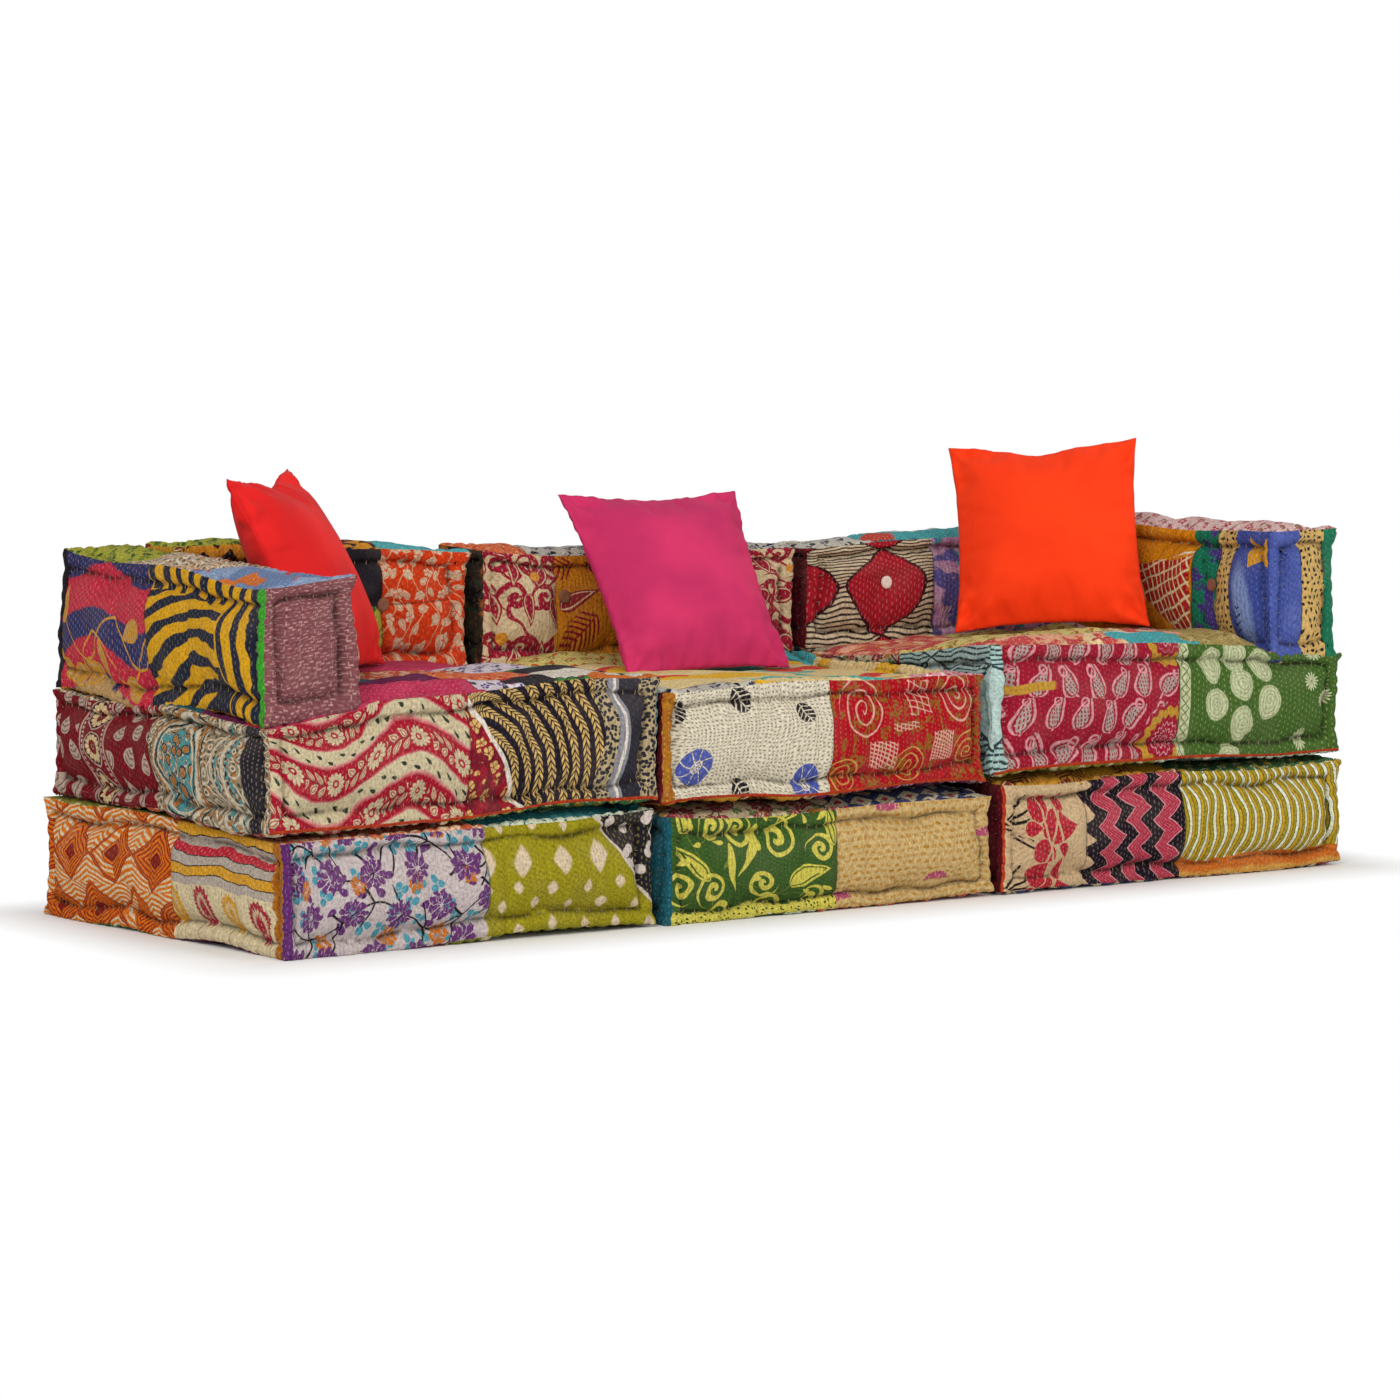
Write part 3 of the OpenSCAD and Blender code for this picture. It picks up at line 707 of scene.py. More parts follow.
for number, (name, piece) in enumerate(pillows.items()):
    base = piece.data.copy()
    smoothed(piece)
    points = readPoints(piece.data).astype(float)
    edgeGap = readAttribute(piece.data, "edgeGap")
    soft = lumps(points, pillowLook["lumpSize"], 300 + number)
    points[:, 1] += pillowLook["lump"] * soft * ramp(edgeGap, 0.01, 0.05)
    across, up, side = points[:, 0].copy(), points[:, 2].copy(), np.sign(points[:, 1])
    along = np.where(abs(across) > abs(up), up, across)
    stray = 3 * lumps(points, 0.10, 320 + number)
    pucker = np.cos(2 * math.pi * along / pillowLook["puckerEvery"] + stray)
    fading = np.exp(-edgeGap / pillowLook["puckerReach"]) * ramp(edgeGap, 0, 0.008)
    points[:, 1] += side * pillowLook["pucker"] * pucker * fading
    for right in (-1, 1):
        for over in (-1, 1):
            gapX, gapZ = pillowLook["width"] / 2 - right * across, pillowLook["width"] / 2 - over * up
            away, turn = np.hypot(gapX, gapZ), np.arctan2(gapZ, gapX)
            folds = np.cos(turn * 9 + number * 2 + right + 2 * over)
            fading = np.exp(-((away - pillowLook["foldAt"]) / pillowLook["foldReach"]) ** 2)
            points[:, 1] += side * pillowLook["fold"] * folds * fading
    for corner, (pullX, pullZ) in enumerate(pillowLook["corners"][name]):
        right, over = 2 * (corner % 2) - 1, 2 * (corner // 2) - 1
        share = (0.5 + right * across / pillowLook["width"]) * (0.5 + over * up / pillowLook["width"])
        points[:, 0] += pullX * share
        points[:, 2] += pullZ * share
    dent, deep = pillowLook["chops"][name]
    points[:, 2] -= deep * np.exp(-((across - dent) / pillowLook["chopWide"]) ** 2) * ramp(up, 0.02, 0.2)
    points[:, 1] += pillowLook["wave"] * lumps(points, 0.30, 310 + number)
    lean, turn = (math.radians(a) for a in pillowLook["leans"][name])
    middle = sum((np.array(c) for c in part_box(f"pillow_{name}_cover")), np.zeros(3)) / 2
    spin = np.array(Matrix.Rotation(turn, 3, "Z") @ Matrix.Rotation(-lean, 3, "X"))
    points = points @ spin.T + middle + pillowLook["moved"][name]
    writePoints(piece.data, points)
    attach(piece, "pillow_" + name)
    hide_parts(f"pillow_{name}_cover")
    core = (points[:len(base.vertices)] - middle - pillowLook["moved"][name]) @ spin * pillowLook["core"]
    core = core @ spin.T + middle + pillowLook["moved"][name]
    fillWith(f"pillow_{name}_wadding", "pillow_" + name, base, core)
print("pillows shaped")


class Field:
    # a number that varies over the cloth: what is done to it becomes nodes in its tree
    def __init__(self, socket):
        self.socket = socket

    def to(self, operation, *others):
        tree, values = self.socket.id_data, dict(enumerate((self,) + others))
        return Field(addNode(tree, "ShaderNodeMath", {"operation": operation}, values).outputs[0])

    def __add__(self, other):
        return self.to("ADD", other)

    def __sub__(self, other):
        return self.to("SUBTRACT", other)

    def __rsub__(self, other):
        return self * -1 + other

    def __mul__(self, other):
        return self.to("MULTIPLY", other)

    def __truediv__(self, other):
        return self.to("DIVIDE", other)

    def __neg__(self):
        return self * -1

    def __abs__(self):
        return self.to("ABSOLUTE")


def paint(under, dye, mask):
    # lays a dye over what is there, as far as the mask says
    under, dye = (toLinear(d) if isinstance(d, str) else d for d in (under, dye))
    tree = mask.socket.id_data
    return addNode(tree, "ShaderNodeMix", {"data_type": "RGBA"}, {0: mask, 6: under, 7: dye}).outputs[2]


def below(field, edge=0.0, soft=1.2):
    # 1 where a field is under an edge, with a soft rim
    ramped = addNode(field.socket.id_data, "ShaderNodeMath", {"operation": "MULTIPLY_ADD", "use_clamp": True},
                     {0: field, 1: -1 / soft, 2: edge / soft + 0.5})
    return Field(ramped.outputs[0])


def above(field, edge=0.0, soft=1.2):
    return below(-field, -edge, soft)


def strip(field, half, soft=1.2):
    # 1 along the line where a field is 0, this far to either side of it
    return below(abs(field), half, soft)


def far(x, y):
    return (x * x + y * y).to("SQRT")


def turned(x, y, angle):
    if isinstance(angle, Field):
        cos, sin = angle.to("COSINE"), angle.to("SINE")
    else:
        cos, sin = math.cos(angle), math.sin(angle)
    return x * cos + y * sin, y * cos - x * sin


def placed(c, u, v, angle=0.0):
    # where a point of the cloth lies from a motif's middle
    return turned(c.u - u, c.v - v, angle) if angle else (c.u - u, c.v - v)


def repeated(field, step):
    # distance from the middle of each step
    return ((field / step).to("FRACT") - 0.5) * step


def ruled(field, step, half, soft=1.2):
    # 1 along a line in the middle of each step
    return strip(repeated(field, step), half, soft)


def scattered(x, y, wide, high, stray=0.0):
    # rows of cells, each row half a cell along: place from a cell's middle, and a number drawn for the cell
    row = (y / high).to("FLOOR")
    slid = x / wide + row.to("PINGPONG", 1) * 0.5
    column = slid.to("FLOOR")
    tree = x.socket.id_data
    cell = addNode(tree, "ShaderNodeCombineXYZ", links={0: column, 1: row})
    draw = addNode(tree, "ShaderNodeTexWhiteNoise", {"noise_dimensions": "2D"}, {"Vector": cell.outputs[0]})
    parts = addNode(tree, "ShaderNodeSeparateColor", links={0: draw.outputs["Color"]})
    pick = Field(draw.outputs["Value"])
    x, y = (slid - column - 0.5) * wide, (y / high - row - 0.5) * high
    if stray:
        x += (Field(parts.outputs[0]) - 0.5) * stray
        y += (Field(parts.outputs[1]) - 0.5) * stray
    return x, y, pick


def oval(x, y, a, b):
    return (far(x / a, y / b) - 1) * min(a, b)


def diamond(x, y, a, b):
    return (abs(x) / a + abs(y) / b - 1) * min(a, b)


def drop(x, y, high, wide, bend=0.0):
    # a leaf or boteh standing on its round end, its tip bent over
    t = y / high + 0.5
    if bend:
        x = x - t * t * bend
    return abs(x) - t.to("MAXIMUM", 0).to("SQRT") * (1 - t) * (1.3 * wide)


def flower(x, y, radius, petals, notch=0.3, slit=1.6):
    # a round flower head split into petals
    r = far(x, y)
    lobe = abs((y.to("ARCTAN2", x) * (petals / 2)).to("COSINE"))
    return below(r - lobe * (radius * notch), radius * (1 - notch)) * (1 - below(lobe * r, slit))


def coil(x, y, pitch, radius, thick):
    # a line wound outwards, thinner towards its end
    r = far(x, y)
    wound = abs((r / pitch - y.to("ARCTAN2", x) / (2 * math.pi)).to("FRACT") - 0.5) * pitch
    return below(wound + r * (thick / radius / 2), thick) * below(r, radius)


def stroke(c, start, end, width):
    # a straight painted line with round ends
    du, dv = end[0] - start[0], end[1] - start[1]
    x, y = placed(c, *start, math.atan2(dv, du))
    return below(far(x - x.to("MAXIMUM", 0).to("MINIMUM", math.hypot(du, dv)), y), width / 2)


def stripes(field, period, bands, interpolation="CONSTANT"):
    # a run of colours, each from its own start in mm
    node = addNode(field.socket.id_data, "ShaderNodeValToRGB", links={0: (field / period).to("FRACT")})
    colours = node.color_ramp
    colours.interpolation = interpolation
    colours.elements.remove(colours.elements[1])
    for number, (start, dye) in enumerate(bands):
        stop = colours.elements.new(start / period) if number else colours.elements[0]
        stop.position, stop.color = start / period, toLinear(dye)
    return node.outputs[0]


def mottle(c, size, stretch=(1, 1), detail=2.0):
    # uneven blotches about this many mm across
    across, up = c.u * (stretch[0] / size), c.v * (stretch[1] / size)
    place = addNode(c.tree, "ShaderNodeCombineXYZ", links={0: across, 1: up})
    return Field(addNode(c.tree, "ShaderNodeTexNoise", {"noise_dimensions": "2D"},
                         {"Vector": place.outputs[0], "Scale": 1.0, "Detail": detail}).outputs[0])


def pebbled(c, size):
    # distance from the nearest of many scattered points, in steps of the size
    place = addNode(c.tree, "ShaderNodeCombineXYZ", links={0: c.u / size, 1: c.v / size})
    return Field(addNode(c.tree, "ShaderNodeTexVoronoi", {"voronoi_dimensions": "2D"},
                         {"Vector": place.outputs[0], "Scale": 1.0}).outputs[0])


def carnations(c):
    ground, petal, orange, leaf, vine = c.dyes
    x, y, pick = scattered(c.u, c.v, 36, 31, 14)
    c.lay(leaf, flower(x, y, 15, 3, 0.7, 1.0) * below(pick, 0.55, 0.01))
    c.lay(petal, below(drop(*turned(x, y, pick * 9), 24, 13)) * above(pick, 0.72, 0.01))
    for height, phase in ((160, 0.4), (62, 2.4)):
        bend = c.v - ((c.u * 0.026 + phase).to("SINE") * 30 + height)
        twig = abs(repeated(c.u + abs(bend) * 0.7, 58)) + (abs(bend) - 34).to("MAXIMUM", 0) * 9
        c.lay(vine, below(abs(bend).to("MINIMUM", twig * 0.8), 1.9))
    ragged = (mottle(c, 9) - 0.5) * 16
    x, y, pick = scattered(c.u + 50, c.v + 12, 112, 84, 20)
    c.lay(orange, flower(x + ragged, y - ragged, 17, 6))
    x, y, pick = scattered(c.u + 12, c.v + 34, 88, 68, 16)
    c.lay(petal, flower(x + ragged, y + ragged * 0.6, 27, 9, 0.3, 3.0))


def oliveDiamonds(c):
    ground, streak, pale, black, pebble = c.dyes
    c.lay(streak, mottle(c, 10, (2, 0.2)))
    y = c.v - 132
    c.lay(pale, below(oval(repeated(c.u, 78), y, 18, 24) + diamond(repeated(c.u, 78), y, 20, 28), soft=9))
    x, low, pick = scattered(c.u + 30, c.v + 6, 70, 36, 8)
    rowsOff = strip(((c.v + 6) / 36).to("FLOOR") - 3.5, 1, 0.01)
    c.lay(pale, below(diamond(x, low, 10, 13) + oval(x, low, 9, 11), soft=7) * (1 - rowsOff))
    corner = (c.u - 646) * 0.783 + (c.v - 217) * 0.622
    spots = paint(black, pebble, below(pebbled(c, 26), 0.3, 0.05))
    c.lay(spots, above(corner))
    c.lay(pebble, strip(corner, 2.5))


def scrolls(c):
    ground, curl, speck = c.dyes
    for u, v, angle, high, wide, bend in (
            (300, 88, -1.0, 92, 40, 26), (60, 120, 0.5, 84, 30, -26), (182, 132, 2.9, 100, 20, 22),
            (128, 104, 3.1, 96, 17, -20), (352, 170, 0.3, 76, 26, 20), (262, 196, 1.9, 70, 24, -22),
            (24, 196, 0.4, 66, 26, 18)):
        leaf = drop(*placed(c, u, v, angle), high, wide, bend)
        c.lay(curl, below(leaf))
        if wide > 22:
            c.lay(ground, strip(leaf + 6, 1.5))
    for u, v, angle, size in (
            (238, 154, 0.4, 34), (92, 68, 2.6, 30), (204, 72, 4.2, 28), (330, 128, 1.2, 26),
            (26, 74, 3.6, 30), (152, 176, 5.4, 27), (318, 30, 0.9, 26), (230, 20, 2.2, 26),
            (120, 18, 3.3, 28), (92, 182, 1.7, 26)):
        c.lay(curl, coil(*placed(c, u, v, angle), size * 0.68, size * 1.12, 6.4))
    x, y, pick = scattered(c.u + 10, c.v + 12, 44, 36, 12)
    c.lay(curl, below(drop(*turned(x, y, pick * 6), 20, 10, 5)) * below(pick, 0.45, 0.01))
    speckled = paint(curl, speck, below(pebbled(c, 11), 0.2, 0.05))
    c.lay(speckled, below(c.v + mottle(c, 40) * 14, 36, 2))


def tanDashes(c):
    ground, dash, fan = c.dyes
    x, y, pick = scattered(c.u, c.v, 17, 13, 2)
    c.lay(dash, below(oval(x, y, 6, 3.4), soft=2) * (pick * 0.5 + 0.45))
    for u, v in ((485, 184), (720, 120), (386, 18), (600, 44)):
        x, y = placed(c, u, v)
        c.lay(fan, flower(x, y * 1.5, 27, 18, 0.2, 1.5) * above(y))


def tulips(c):
    ground, red, black = c.dyes
    for low in (0, 122):
        for end in ((74, 164), (66, 138), (62, 98), (92, 62), (46, 176)):
            c.lay(black, stroke(c, (4, 122 - low), (end[0], end[1] - low), 4.5))
        for u, v, angle, high, wide in (
                (124, 120, -1.5, 78, 62), (80, 156, -0.8, 54, 44), (92, 72, -2.2, 56, 46),
                (128, 164, -0.3, 34, 20), (134, 74, -2.9, 34, 20), (66, 120, -1.6, 40, 26)):
            x, y = placed(c, u, v - low, angle)
            petal = drop(x, y, high, wide)
            c.lay(ground, below(petal, 2.2))
            c.lay(red, below(petal))
            c.lay(black, strip(x, 1.3) * below(petal, -wide * 0.25) * 0.5)


def zigzags(c):
    beige, black, crimson, pink = c.dyes
    slid = c.u + c.v.to("PINGPONG", 23) * 1.35 - 192
    bands = [(0, beige), (20, black)]
    for start in (54, 126, 198):
        bands += [(start, pink), (start + 3, crimson), (start + 37, pink), (start + 40, black)]
    c.colour = stripes(slid, 300, bands)
    hatch = ruled(slid, 7.5, 0.8) * ruled(slid - 38, 72, 15)
    c.lay(pink, hatch * 0.45)


def bowedStripes(c):
    olive, edge, pale, gold, border, under = c.dyes
    arc = c.u + (c.v - 100) * (c.v - 100) * 0.0026
    c.colour = stripes(arc, 21, [
        (0, olive), (5, edge), (6.5, pale), (12, edge), (13.5, gold), (19, edge), (20.5, olive)])
    c.lay(border, below(c.v, 37))
    c.lay(under, below(c.v, 14, 8))


def maze(c):
    orange, line, cream, dark = c.dyes
    x, y, pick = scattered(c.u + (mottle(c, 80, detail=0.0) - 0.5) * 30, c.v + 20, 132, 96)
    ring = abs(x) / 66 + abs(y) / 48
    c.lay(line, ruled(ring, 0.165, 0.034, 0.02))
    striped = paint(orange, cream, ruled(c.v - abs(x) * 0.35, 9, 2.0))
    c.lay(striped, above(ring, 1.0, 0.02))
    c.lay(striped, strip(ring - 0.62, 0.19, 0.02) * below(x, 0) * below(pick, 0.62, 0.01))
    c.lay(dark, below(ring, 0.3, 0.03) * above(pick, 0.4, 0.01))
    c.lay(line, strip(ring - 1, 0.032, 0.02))


def botehStripes(c):
    cream, crimson, mustard, grey, red, line, ochre, purple = c.dyes
    c.colour = stripes(c.v + (c.u * 0.05).to("SINE") * 1.5, 240, [
        (0, cream), (98, grey), (112, line), (114, mustard), (129, line), (131, grey), (145, line),
        (147, red), (162, grey), (174, line), (176, mustard)])
    c.lay("BCA888", ruled(c.u, 42, 1.6) * below(c.v, 96))
    column = (c.u / 84).to("FLOOR")
    x, y = repeated(c.u, 84), c.v - 60
    teeth = (y.to("ARCTAN2", x) * 20).to("SINE") * 1.8
    boteh = oval(x, y, 25, 34) + teeth
    dye = paint(crimson, mustard, column.to("PINGPONG", 1))
    c.lay(dye, below(boteh, 0, 2))
    c.lay(cream, below(boteh + 9, 0, 3) * 0.75)
    c.lay(dye, below(oval(x, y + 3, 8, 17) + teeth * 0.6, 0, 2))
    c.lay(ochre, above(c.u, 750))
    c.lay(purple, above(c.u, 778))


def garlands(c):
    crimson, pink, cream, mark = c.dyes
    band = c.v + ((c.u - 113) * (2 * math.pi / 330)).to("COSINE") * 35 + 10
    c.colour = stripes(band, 86, [
        (0, pink), (4, crimson), (52, crimson), (57, pink), (61, cream), (81, cream)], "LINEAR")
    y, x = repeated(band, 86) + 43 - 27.5, repeated(c.u, 84)
    aside = above(abs(x), 21)
    for side in (-1, 1):
        leaf = drop(*turned(repeated(c.u + side * 4, 17), y - side * 9, side * 0.7), 20, 10)
        c.lay(cream, below(leaf) * aside * (1 - strip(leaf + 2.6, 0.7)))
    c.lay("6A2A20", strip(y, 0.9) * aside)
    c.lay(cream, flower(x, y, 19, 13, 0.25, 1.9))
    c.lay(crimson, below(far(x, y), 6.5))
    c.lay(cream, below(far(x, y), 3.0))
    y = repeated(band, 86) + 43 - 70
    column = (c.u / 21).to("FLOOR").to("PINGPONG", 1)
    leaf = drop(*turned(repeated(c.u, 21), y + column * 11 - 5.5, 1.0), 12, 6)
    c.lay(mark, below(leaf))


def wheatArcs(c):
    black, gold, white, maroon, berry, tan, grey, charcoal = c.dyes
    x, y = c.u - 372, (c.v - 8) * 0.72
    turn = y.to("ARCTAN2", x)
    ring = far(x, y) * (turn * turn * 0.2 + 1)
    side = repeated(ring + 5, 24)
    along = turn * ring
    grain = ruled(along + abs(side) * 1.1, 8, 2.5) * strip(abs(side) - 3.8, 3.2)
    c.lay(gold, grain)
    petals = flower(*scattered(c.u, c.v, 26, 22, 10)[:2], 11, 5)
    patch = paint(maroon, berry, below(mottle(c, 26), 0.48, 0.03))
    patch = paint(patch, gold, petals * below(mottle(c, 30), 0.5, 0.03))
    edge = (c.u - 372) * 0.8 + (c.v - 196) * 0.6 - (c.v - 20).to("MAXIMUM", 0) * 0.06
    c.lay(patch, below(edge))
    c.lay(white, strip(edge, 3.6))
    wavy = c.u + (c.v * 0.045).to("SINE") * 6
    speckled = paint(tan, charcoal, below(pebbled(c, 7), 0.4, 0.1))
    c.lay(speckled, above(wavy, 664))
    c.lay(grey, strip(wavy - 704, 12))
    c.lay(charcoal, strip(wavy - 734, 19))
    c.lay(white, strip(wavy - 705, 3))


def ivoryWheels(c):
    ivory, dot, leaf, wheel = c.dyes
    x, y, pick = scattered(c.u + c.v.to("PINGPONG", 60) * 0.9, c.v, 9, 6.5, 2)
    c.lay(dot, below(far(x * 0.7, y), 1.5, 1.2) * 0.75)
    for u, v, angle in ((28, 160, 0), (165, 172, 0.6), (303, 140, 0.5), (165, 14, 0.6)):
        x, y = placed(c, u, v, angle)
        ribs = ruled(y + abs(x) * 0.6, 10, 1.3) + strip(x, 1.2)
        c.lay(leaf, below(oval(x, y, 17, 23)) * (1 - ribs.to("MINIMUM", 1)))
    for u, v in ((64, 62), (308, 26)):
        x, y = placed(c, u, v)
        r = far(x, y)
        swirl = abs((y.to("ARCTAN2", x) * 4 + r * 0.05).to("SINE")) * r
        blue = below(r, 31) * (1 - below(swirl, 3.4)) * (1 - strip(r - 8, 1.3))
        c.lay(wheel, blue)


def spirals(c):
    red, olive, pink, gold = c.dyes
    c.lay(olive, below(mottle(c, 22, (1, 0.7)), 0.47, 0.06) * 0.8)
    c.lay(red, below(pebbled(c, 9), 0.32, 0.1))
    for u, v, a, b in (
            (424, 138, 48, 56), (646, 158, 42, 60), (386, 30, 34, 30), (532, 40, 36, 32), (668, 58, 34, 34)):
        x, y = placed(c, u, v)
        r = far(x / a, y / b)
        wound = (r / 0.36 - y.to("ARCTAN2", x) / (2 * math.pi)).to("FRACT")
        lines = below(abs(wound - 0.5) * (a * 0.36), 1.5) * below(r, 1.05, 0.02)
        c.lay(pink if v > 100 else gold, lines)
    for u, v, a, b, step in (
            (556, 158, 26, 30, 15), (470, 62, 28, 22, 8), (604, 70, 26, 26, 7), (520, 110, 30, 8, 9)):
        x, y = placed(c, u, v)
        grid = ruled(x, step, 1.2) + ruled(y + x * 0.3, step * 0.9, 1.2)
        c.lay(pink, grid.to("MINIMUM", 1) * strip(x, a) * strip(y, b))


def paisleys(c):
    crimson, outline, filling, gold = c.dyes
    x, y, pick = scattered(c.u, c.v, 60, 54, 8)
    x, y = turned(x, y, pick * 1.9 - 1.1)
    leaf = drop(x + 6, y, 54, 37, 26)
    stipple = ruled(x, 6, 1.4) * ruled(y, 7, 2.2)
    inside = paint(paint(filling, crimson, stipple), crimson, strip(leaf + 5, 1.7))
    c.lay(inside, below(leaf))
    c.lay(outline, strip(leaf, 2.1) * below(y, 19, 3))
    c.lay(outline, strip(far(x - 5, y - 18) - 7, 1.8))
    for u, v, r in ((398, 216, 52), (388, 40, 46)):
        x, y = placed(c, u, v)
        ring = far(x, y) + (y.to("ARCTAN2", x) * 15).to("SINE") * 2.5
        c.lay(crimson, below(ring, r + 14))
        c.lay(gold, strip(ring - r, 7))
        c.lay(outline, ruled(ring, 11, 1.3) * below(ring, r - 14))
    c.lay(gold, strip(c.v - 118 - c.u * 0.09, 7) * below(c.u, 118, 6))


def medallions(c):
    green, pale, stitch = c.dyes
    spots = ((505, 160), (566, 180), (632, 162), (575, 128), (512, 96), (642, 100), (575, 64), (556, 4))
    for u, v in spots:
        r = far(*placed(c, u, v))
        c.lay(paint(pale, stitch, ruled(r, 7, 0.9) * 0.55), below(r, 28, 3))
    for u, v in ((751, 134), (794, 100), (737, 32), (764, 192)):
        c.lay(pale, flower(*placed(c, u, v), 19, 14, 0.6, 1.6))
    loops = abs(repeated(c.v, 16)) + abs(c.u - 434)
    c.lay(pale, strip(c.u - 434, 11))
    c.lay(stitch, strip(loops - 8, 1.3) * strip(c.u - 434, 11))


def crimsonDrops(c):
    crimson, pale, deep, cream = c.dyes
    x, y, pick = scattered(c.u, c.v, 62, 52, 18)
    x, y = turned(x, y, pick * 3 - 1.5)
    c.lay(pale, below(drop(x, y, 38, 36)))
    c.lay(deep, ruled(y - abs(x) * 0.5, 11, 1.9) * below(drop(x, y, 32, 28)) * 0.7)
    band, lower = c.u - 190 - (c.v * 0.03).to("SINE") * 5, repeated(c.v + 6, 68)
    c.lay(crimson, strip(band, 50))
    c.lay(pale, strip(abs(band) - 43, 2.0) + strip(abs(band) - 36, 2.6) * ruled(c.v, 10, 3))
    ring = far(band, lower)
    c.lay(pale, below(ring, 32))
    c.lay(deep, below(ring, 29))
    c.lay(cream, flower(band, lower, 26, 14, 0.2, 2.4))
    c.lay(crimson, below(ring, 12) * (1 - below(ring, 4)))


def turquoiseBoteh(c):
    beige, turquoise, orange, cream, dark, charcoal = c.dyes
    c.lay(dark, below(pebbled(c, 10), 0.34, 0.1) * 0.8)
    c.lay(orange, below(mottle(c, 15), 0.42, 0.03) * 0.8)
    c.lay(cream, ruled(pebbled(c, 34), 0.3, 0.05, 0.03))
    x, y = placed(c, 496, 88, 0.15)
    leaf = oval(x - y.to("MAXIMUM", 0) * 0.3, y, 78, 92)
    spots = paint(c.colour, turquoise, strip(mottle(c, 26) - 0.5, 0.085, 0.02))
    spots = paint(spots, orange, below(pebbled(c, 30), 0.22, 0.05))
    spots = paint(spots, dark, strip(pebbled(c, 30) - 0.3, 0.05, 0.03))
    c.lay(spots, below(leaf))
    for gap, dye, width in (
            (0, cream, 3.2), (-8, dark, 2.4), (-16, cream, 2.2), (9, orange, 2.6), (18, dark, 2.0)):
        c.lay(dye, strip(leaf - gap, width))
    for u in (628, 668):
        bend = c.u - u - (c.v - 100) * (c.v - 100) * 0.0035
        c.lay(turquoise, strip(bend - 16, 7) * below(mottle(c, 14), 0.5, 0.04))
        c.lay(cream, strip(bend, 4.0))
        c.lay(dark, ruled(c.v, 13, 3) * strip(bend - 11, 3))
    c.lay(charcoal, strip(c.u - 738, 23))


def leafyWaves(c):
    navy, crimson, gold, tan = c.dyes
    bend = c.v + (c.u * 0.02 + 1).to("SINE") * 18
    c.lay(crimson, strip(bend - 150, 34, 4) + strip(bend - 44, 26, 4))
    c.lay(tan, below(bend + mottle(c, 30) * 40, 36, 5))
    for height, phase in ((84, 0.0), (60, 1.7)):
        vine = c.v - height - (c.u * 0.032 + phase).to("SINE") * 34
        c.lay(gold, strip(vine, 2.0))
    for u, v, angle in (
            (70, 128, 0.1), (24, 70, 0.5), (210, 58, 0), (52, 38, 1.2), (300, 30, 1.4), (320, 96, 1.9),
            (20, 120, -0.4), (96, 26, 1.7), (160, 36, -1.4)):
        leaf = drop(*placed(c, u, v, angle), 62, 30)
        c.lay(gold, below(leaf))
        c.lay(tan, strip(leaf + 6, 1.5))


def zebra(c):
    mustard, charcoal, green = c.dyes
    wild = c.v - (c.u - 375) * 0.2 + (c.u * 0.02).to("SINE") * 8 + (mottle(c, 130, detail=0.5) - 0.5) * 26
    c.lay(charcoal, below(abs(repeated(wild, 38)) + mottle(c, 40) * 8, 12.5, 1.5))
    c.lay(charcoal, below(c.v - (c.u - 540) * 0.6, 0, 2))
    fringe = abs(repeated(c.u + c.v * 0.25, 46))
    c.lay(paint(mustard, charcoal, below(fringe, 11, 1.5)), below(-c.v - mottle(c, 60) * 30, -182, 2))
    wavy = c.u + (c.v * 0.06).to("SINE") * 4
    upright = paint(mustard, charcoal, ruled(wavy - 640, 38, 8, 1.5))
    c.lay(upright, above(wavy, 646))
    c.lay(charcoal, above(wavy, 726))
    c.lay(green, above(c.u, 750))


def mauveDashes(c):
    mauve, deep, pink = c.dyes
    c.lay(deep, mottle(c, 9, (0.35, 1)))
    x, y, pick = scattered(c.u, c.v, 11, 5.6, 4)
    c.lay(pink, strip(x, 3.4, 2) * strip(y, 1.0) * (pick * 0.6 + 0.1))


def vines(c):
    ground, leaf, stem = c.dyes
    x, y, pick = scattered(c.u, c.v, 31, 28, 12)
    x, y = turned(x, y, pick * 6.3)
    frond = drop(x, y, 23, 12)
    c.lay(leaf, below(frond) * (1 - strip(frond + 3, 0.7) * 0.6))
    x, y, pick = scattered(c.u + 20, c.v + 20, 46, 40, 12)
    c.lay(leaf, flower(x, y, 10, 5))
    for phase in (0, 30):
        lane = repeated(c.u + phase + (c.v * 0.06 + phase).to("SINE") * 14, 60)
        c.lay(stem, strip(lane, 1.1))


def crimsonScrolls(c):
    cream, crimson, orange = c.dyes
    x, y, pick = scattered(c.u, c.v, 64, 72, 18)
    x, y = turned(x, y, pick * 6)
    c.lay(crimson, coil(x, y, 22, 31, 9))
    ribbon = abs(mottle(c, 50, detail=0.0) - 0.5)
    c.lay(crimson, below(ribbon, 0.05, 0.01))
    x, y, pick = scattered(c.u + 32, c.v + 18, 64, 72, 14)
    leaf = drop(*turned(x, y, pick * 6), 54, 27, 12)
    c.lay(crimson, below(leaf))
    c.lay(cream, strip(leaf + 4, 1.2))
    c.lay(orange, below(far(*scattered(c.u + 10, c.v, 118, 102, 10)[:2]), 11))


def feathers(c):
    mustard, deep, red, cream = c.dyes
    c.lay(deep, mottle(c, 60))
    x, y, pick = scattered(c.u - 20, c.v, 128, 112, 16)
    x, y = turned(x, y, pick * 1.6 + 0.7)
    leaf = drop(x, y, 108, 52, 14)
    ribs = ruled(y - abs(x) * 0.9, 12, 2.6) + strip(x - 3, 1.2)
    c.lay(red, below(leaf) * ribs.to("MINIMUM", 1))
    x, y, pick = scattered(c.u + 50, c.v + 54, 128, 112, 16)
    leaf = drop(*turned(x, y, pick * 2 - 2), 84, 32, 24)
    c.lay(red, below(leaf))
    c.lay(cream, strip(leaf + 6, 1.3))


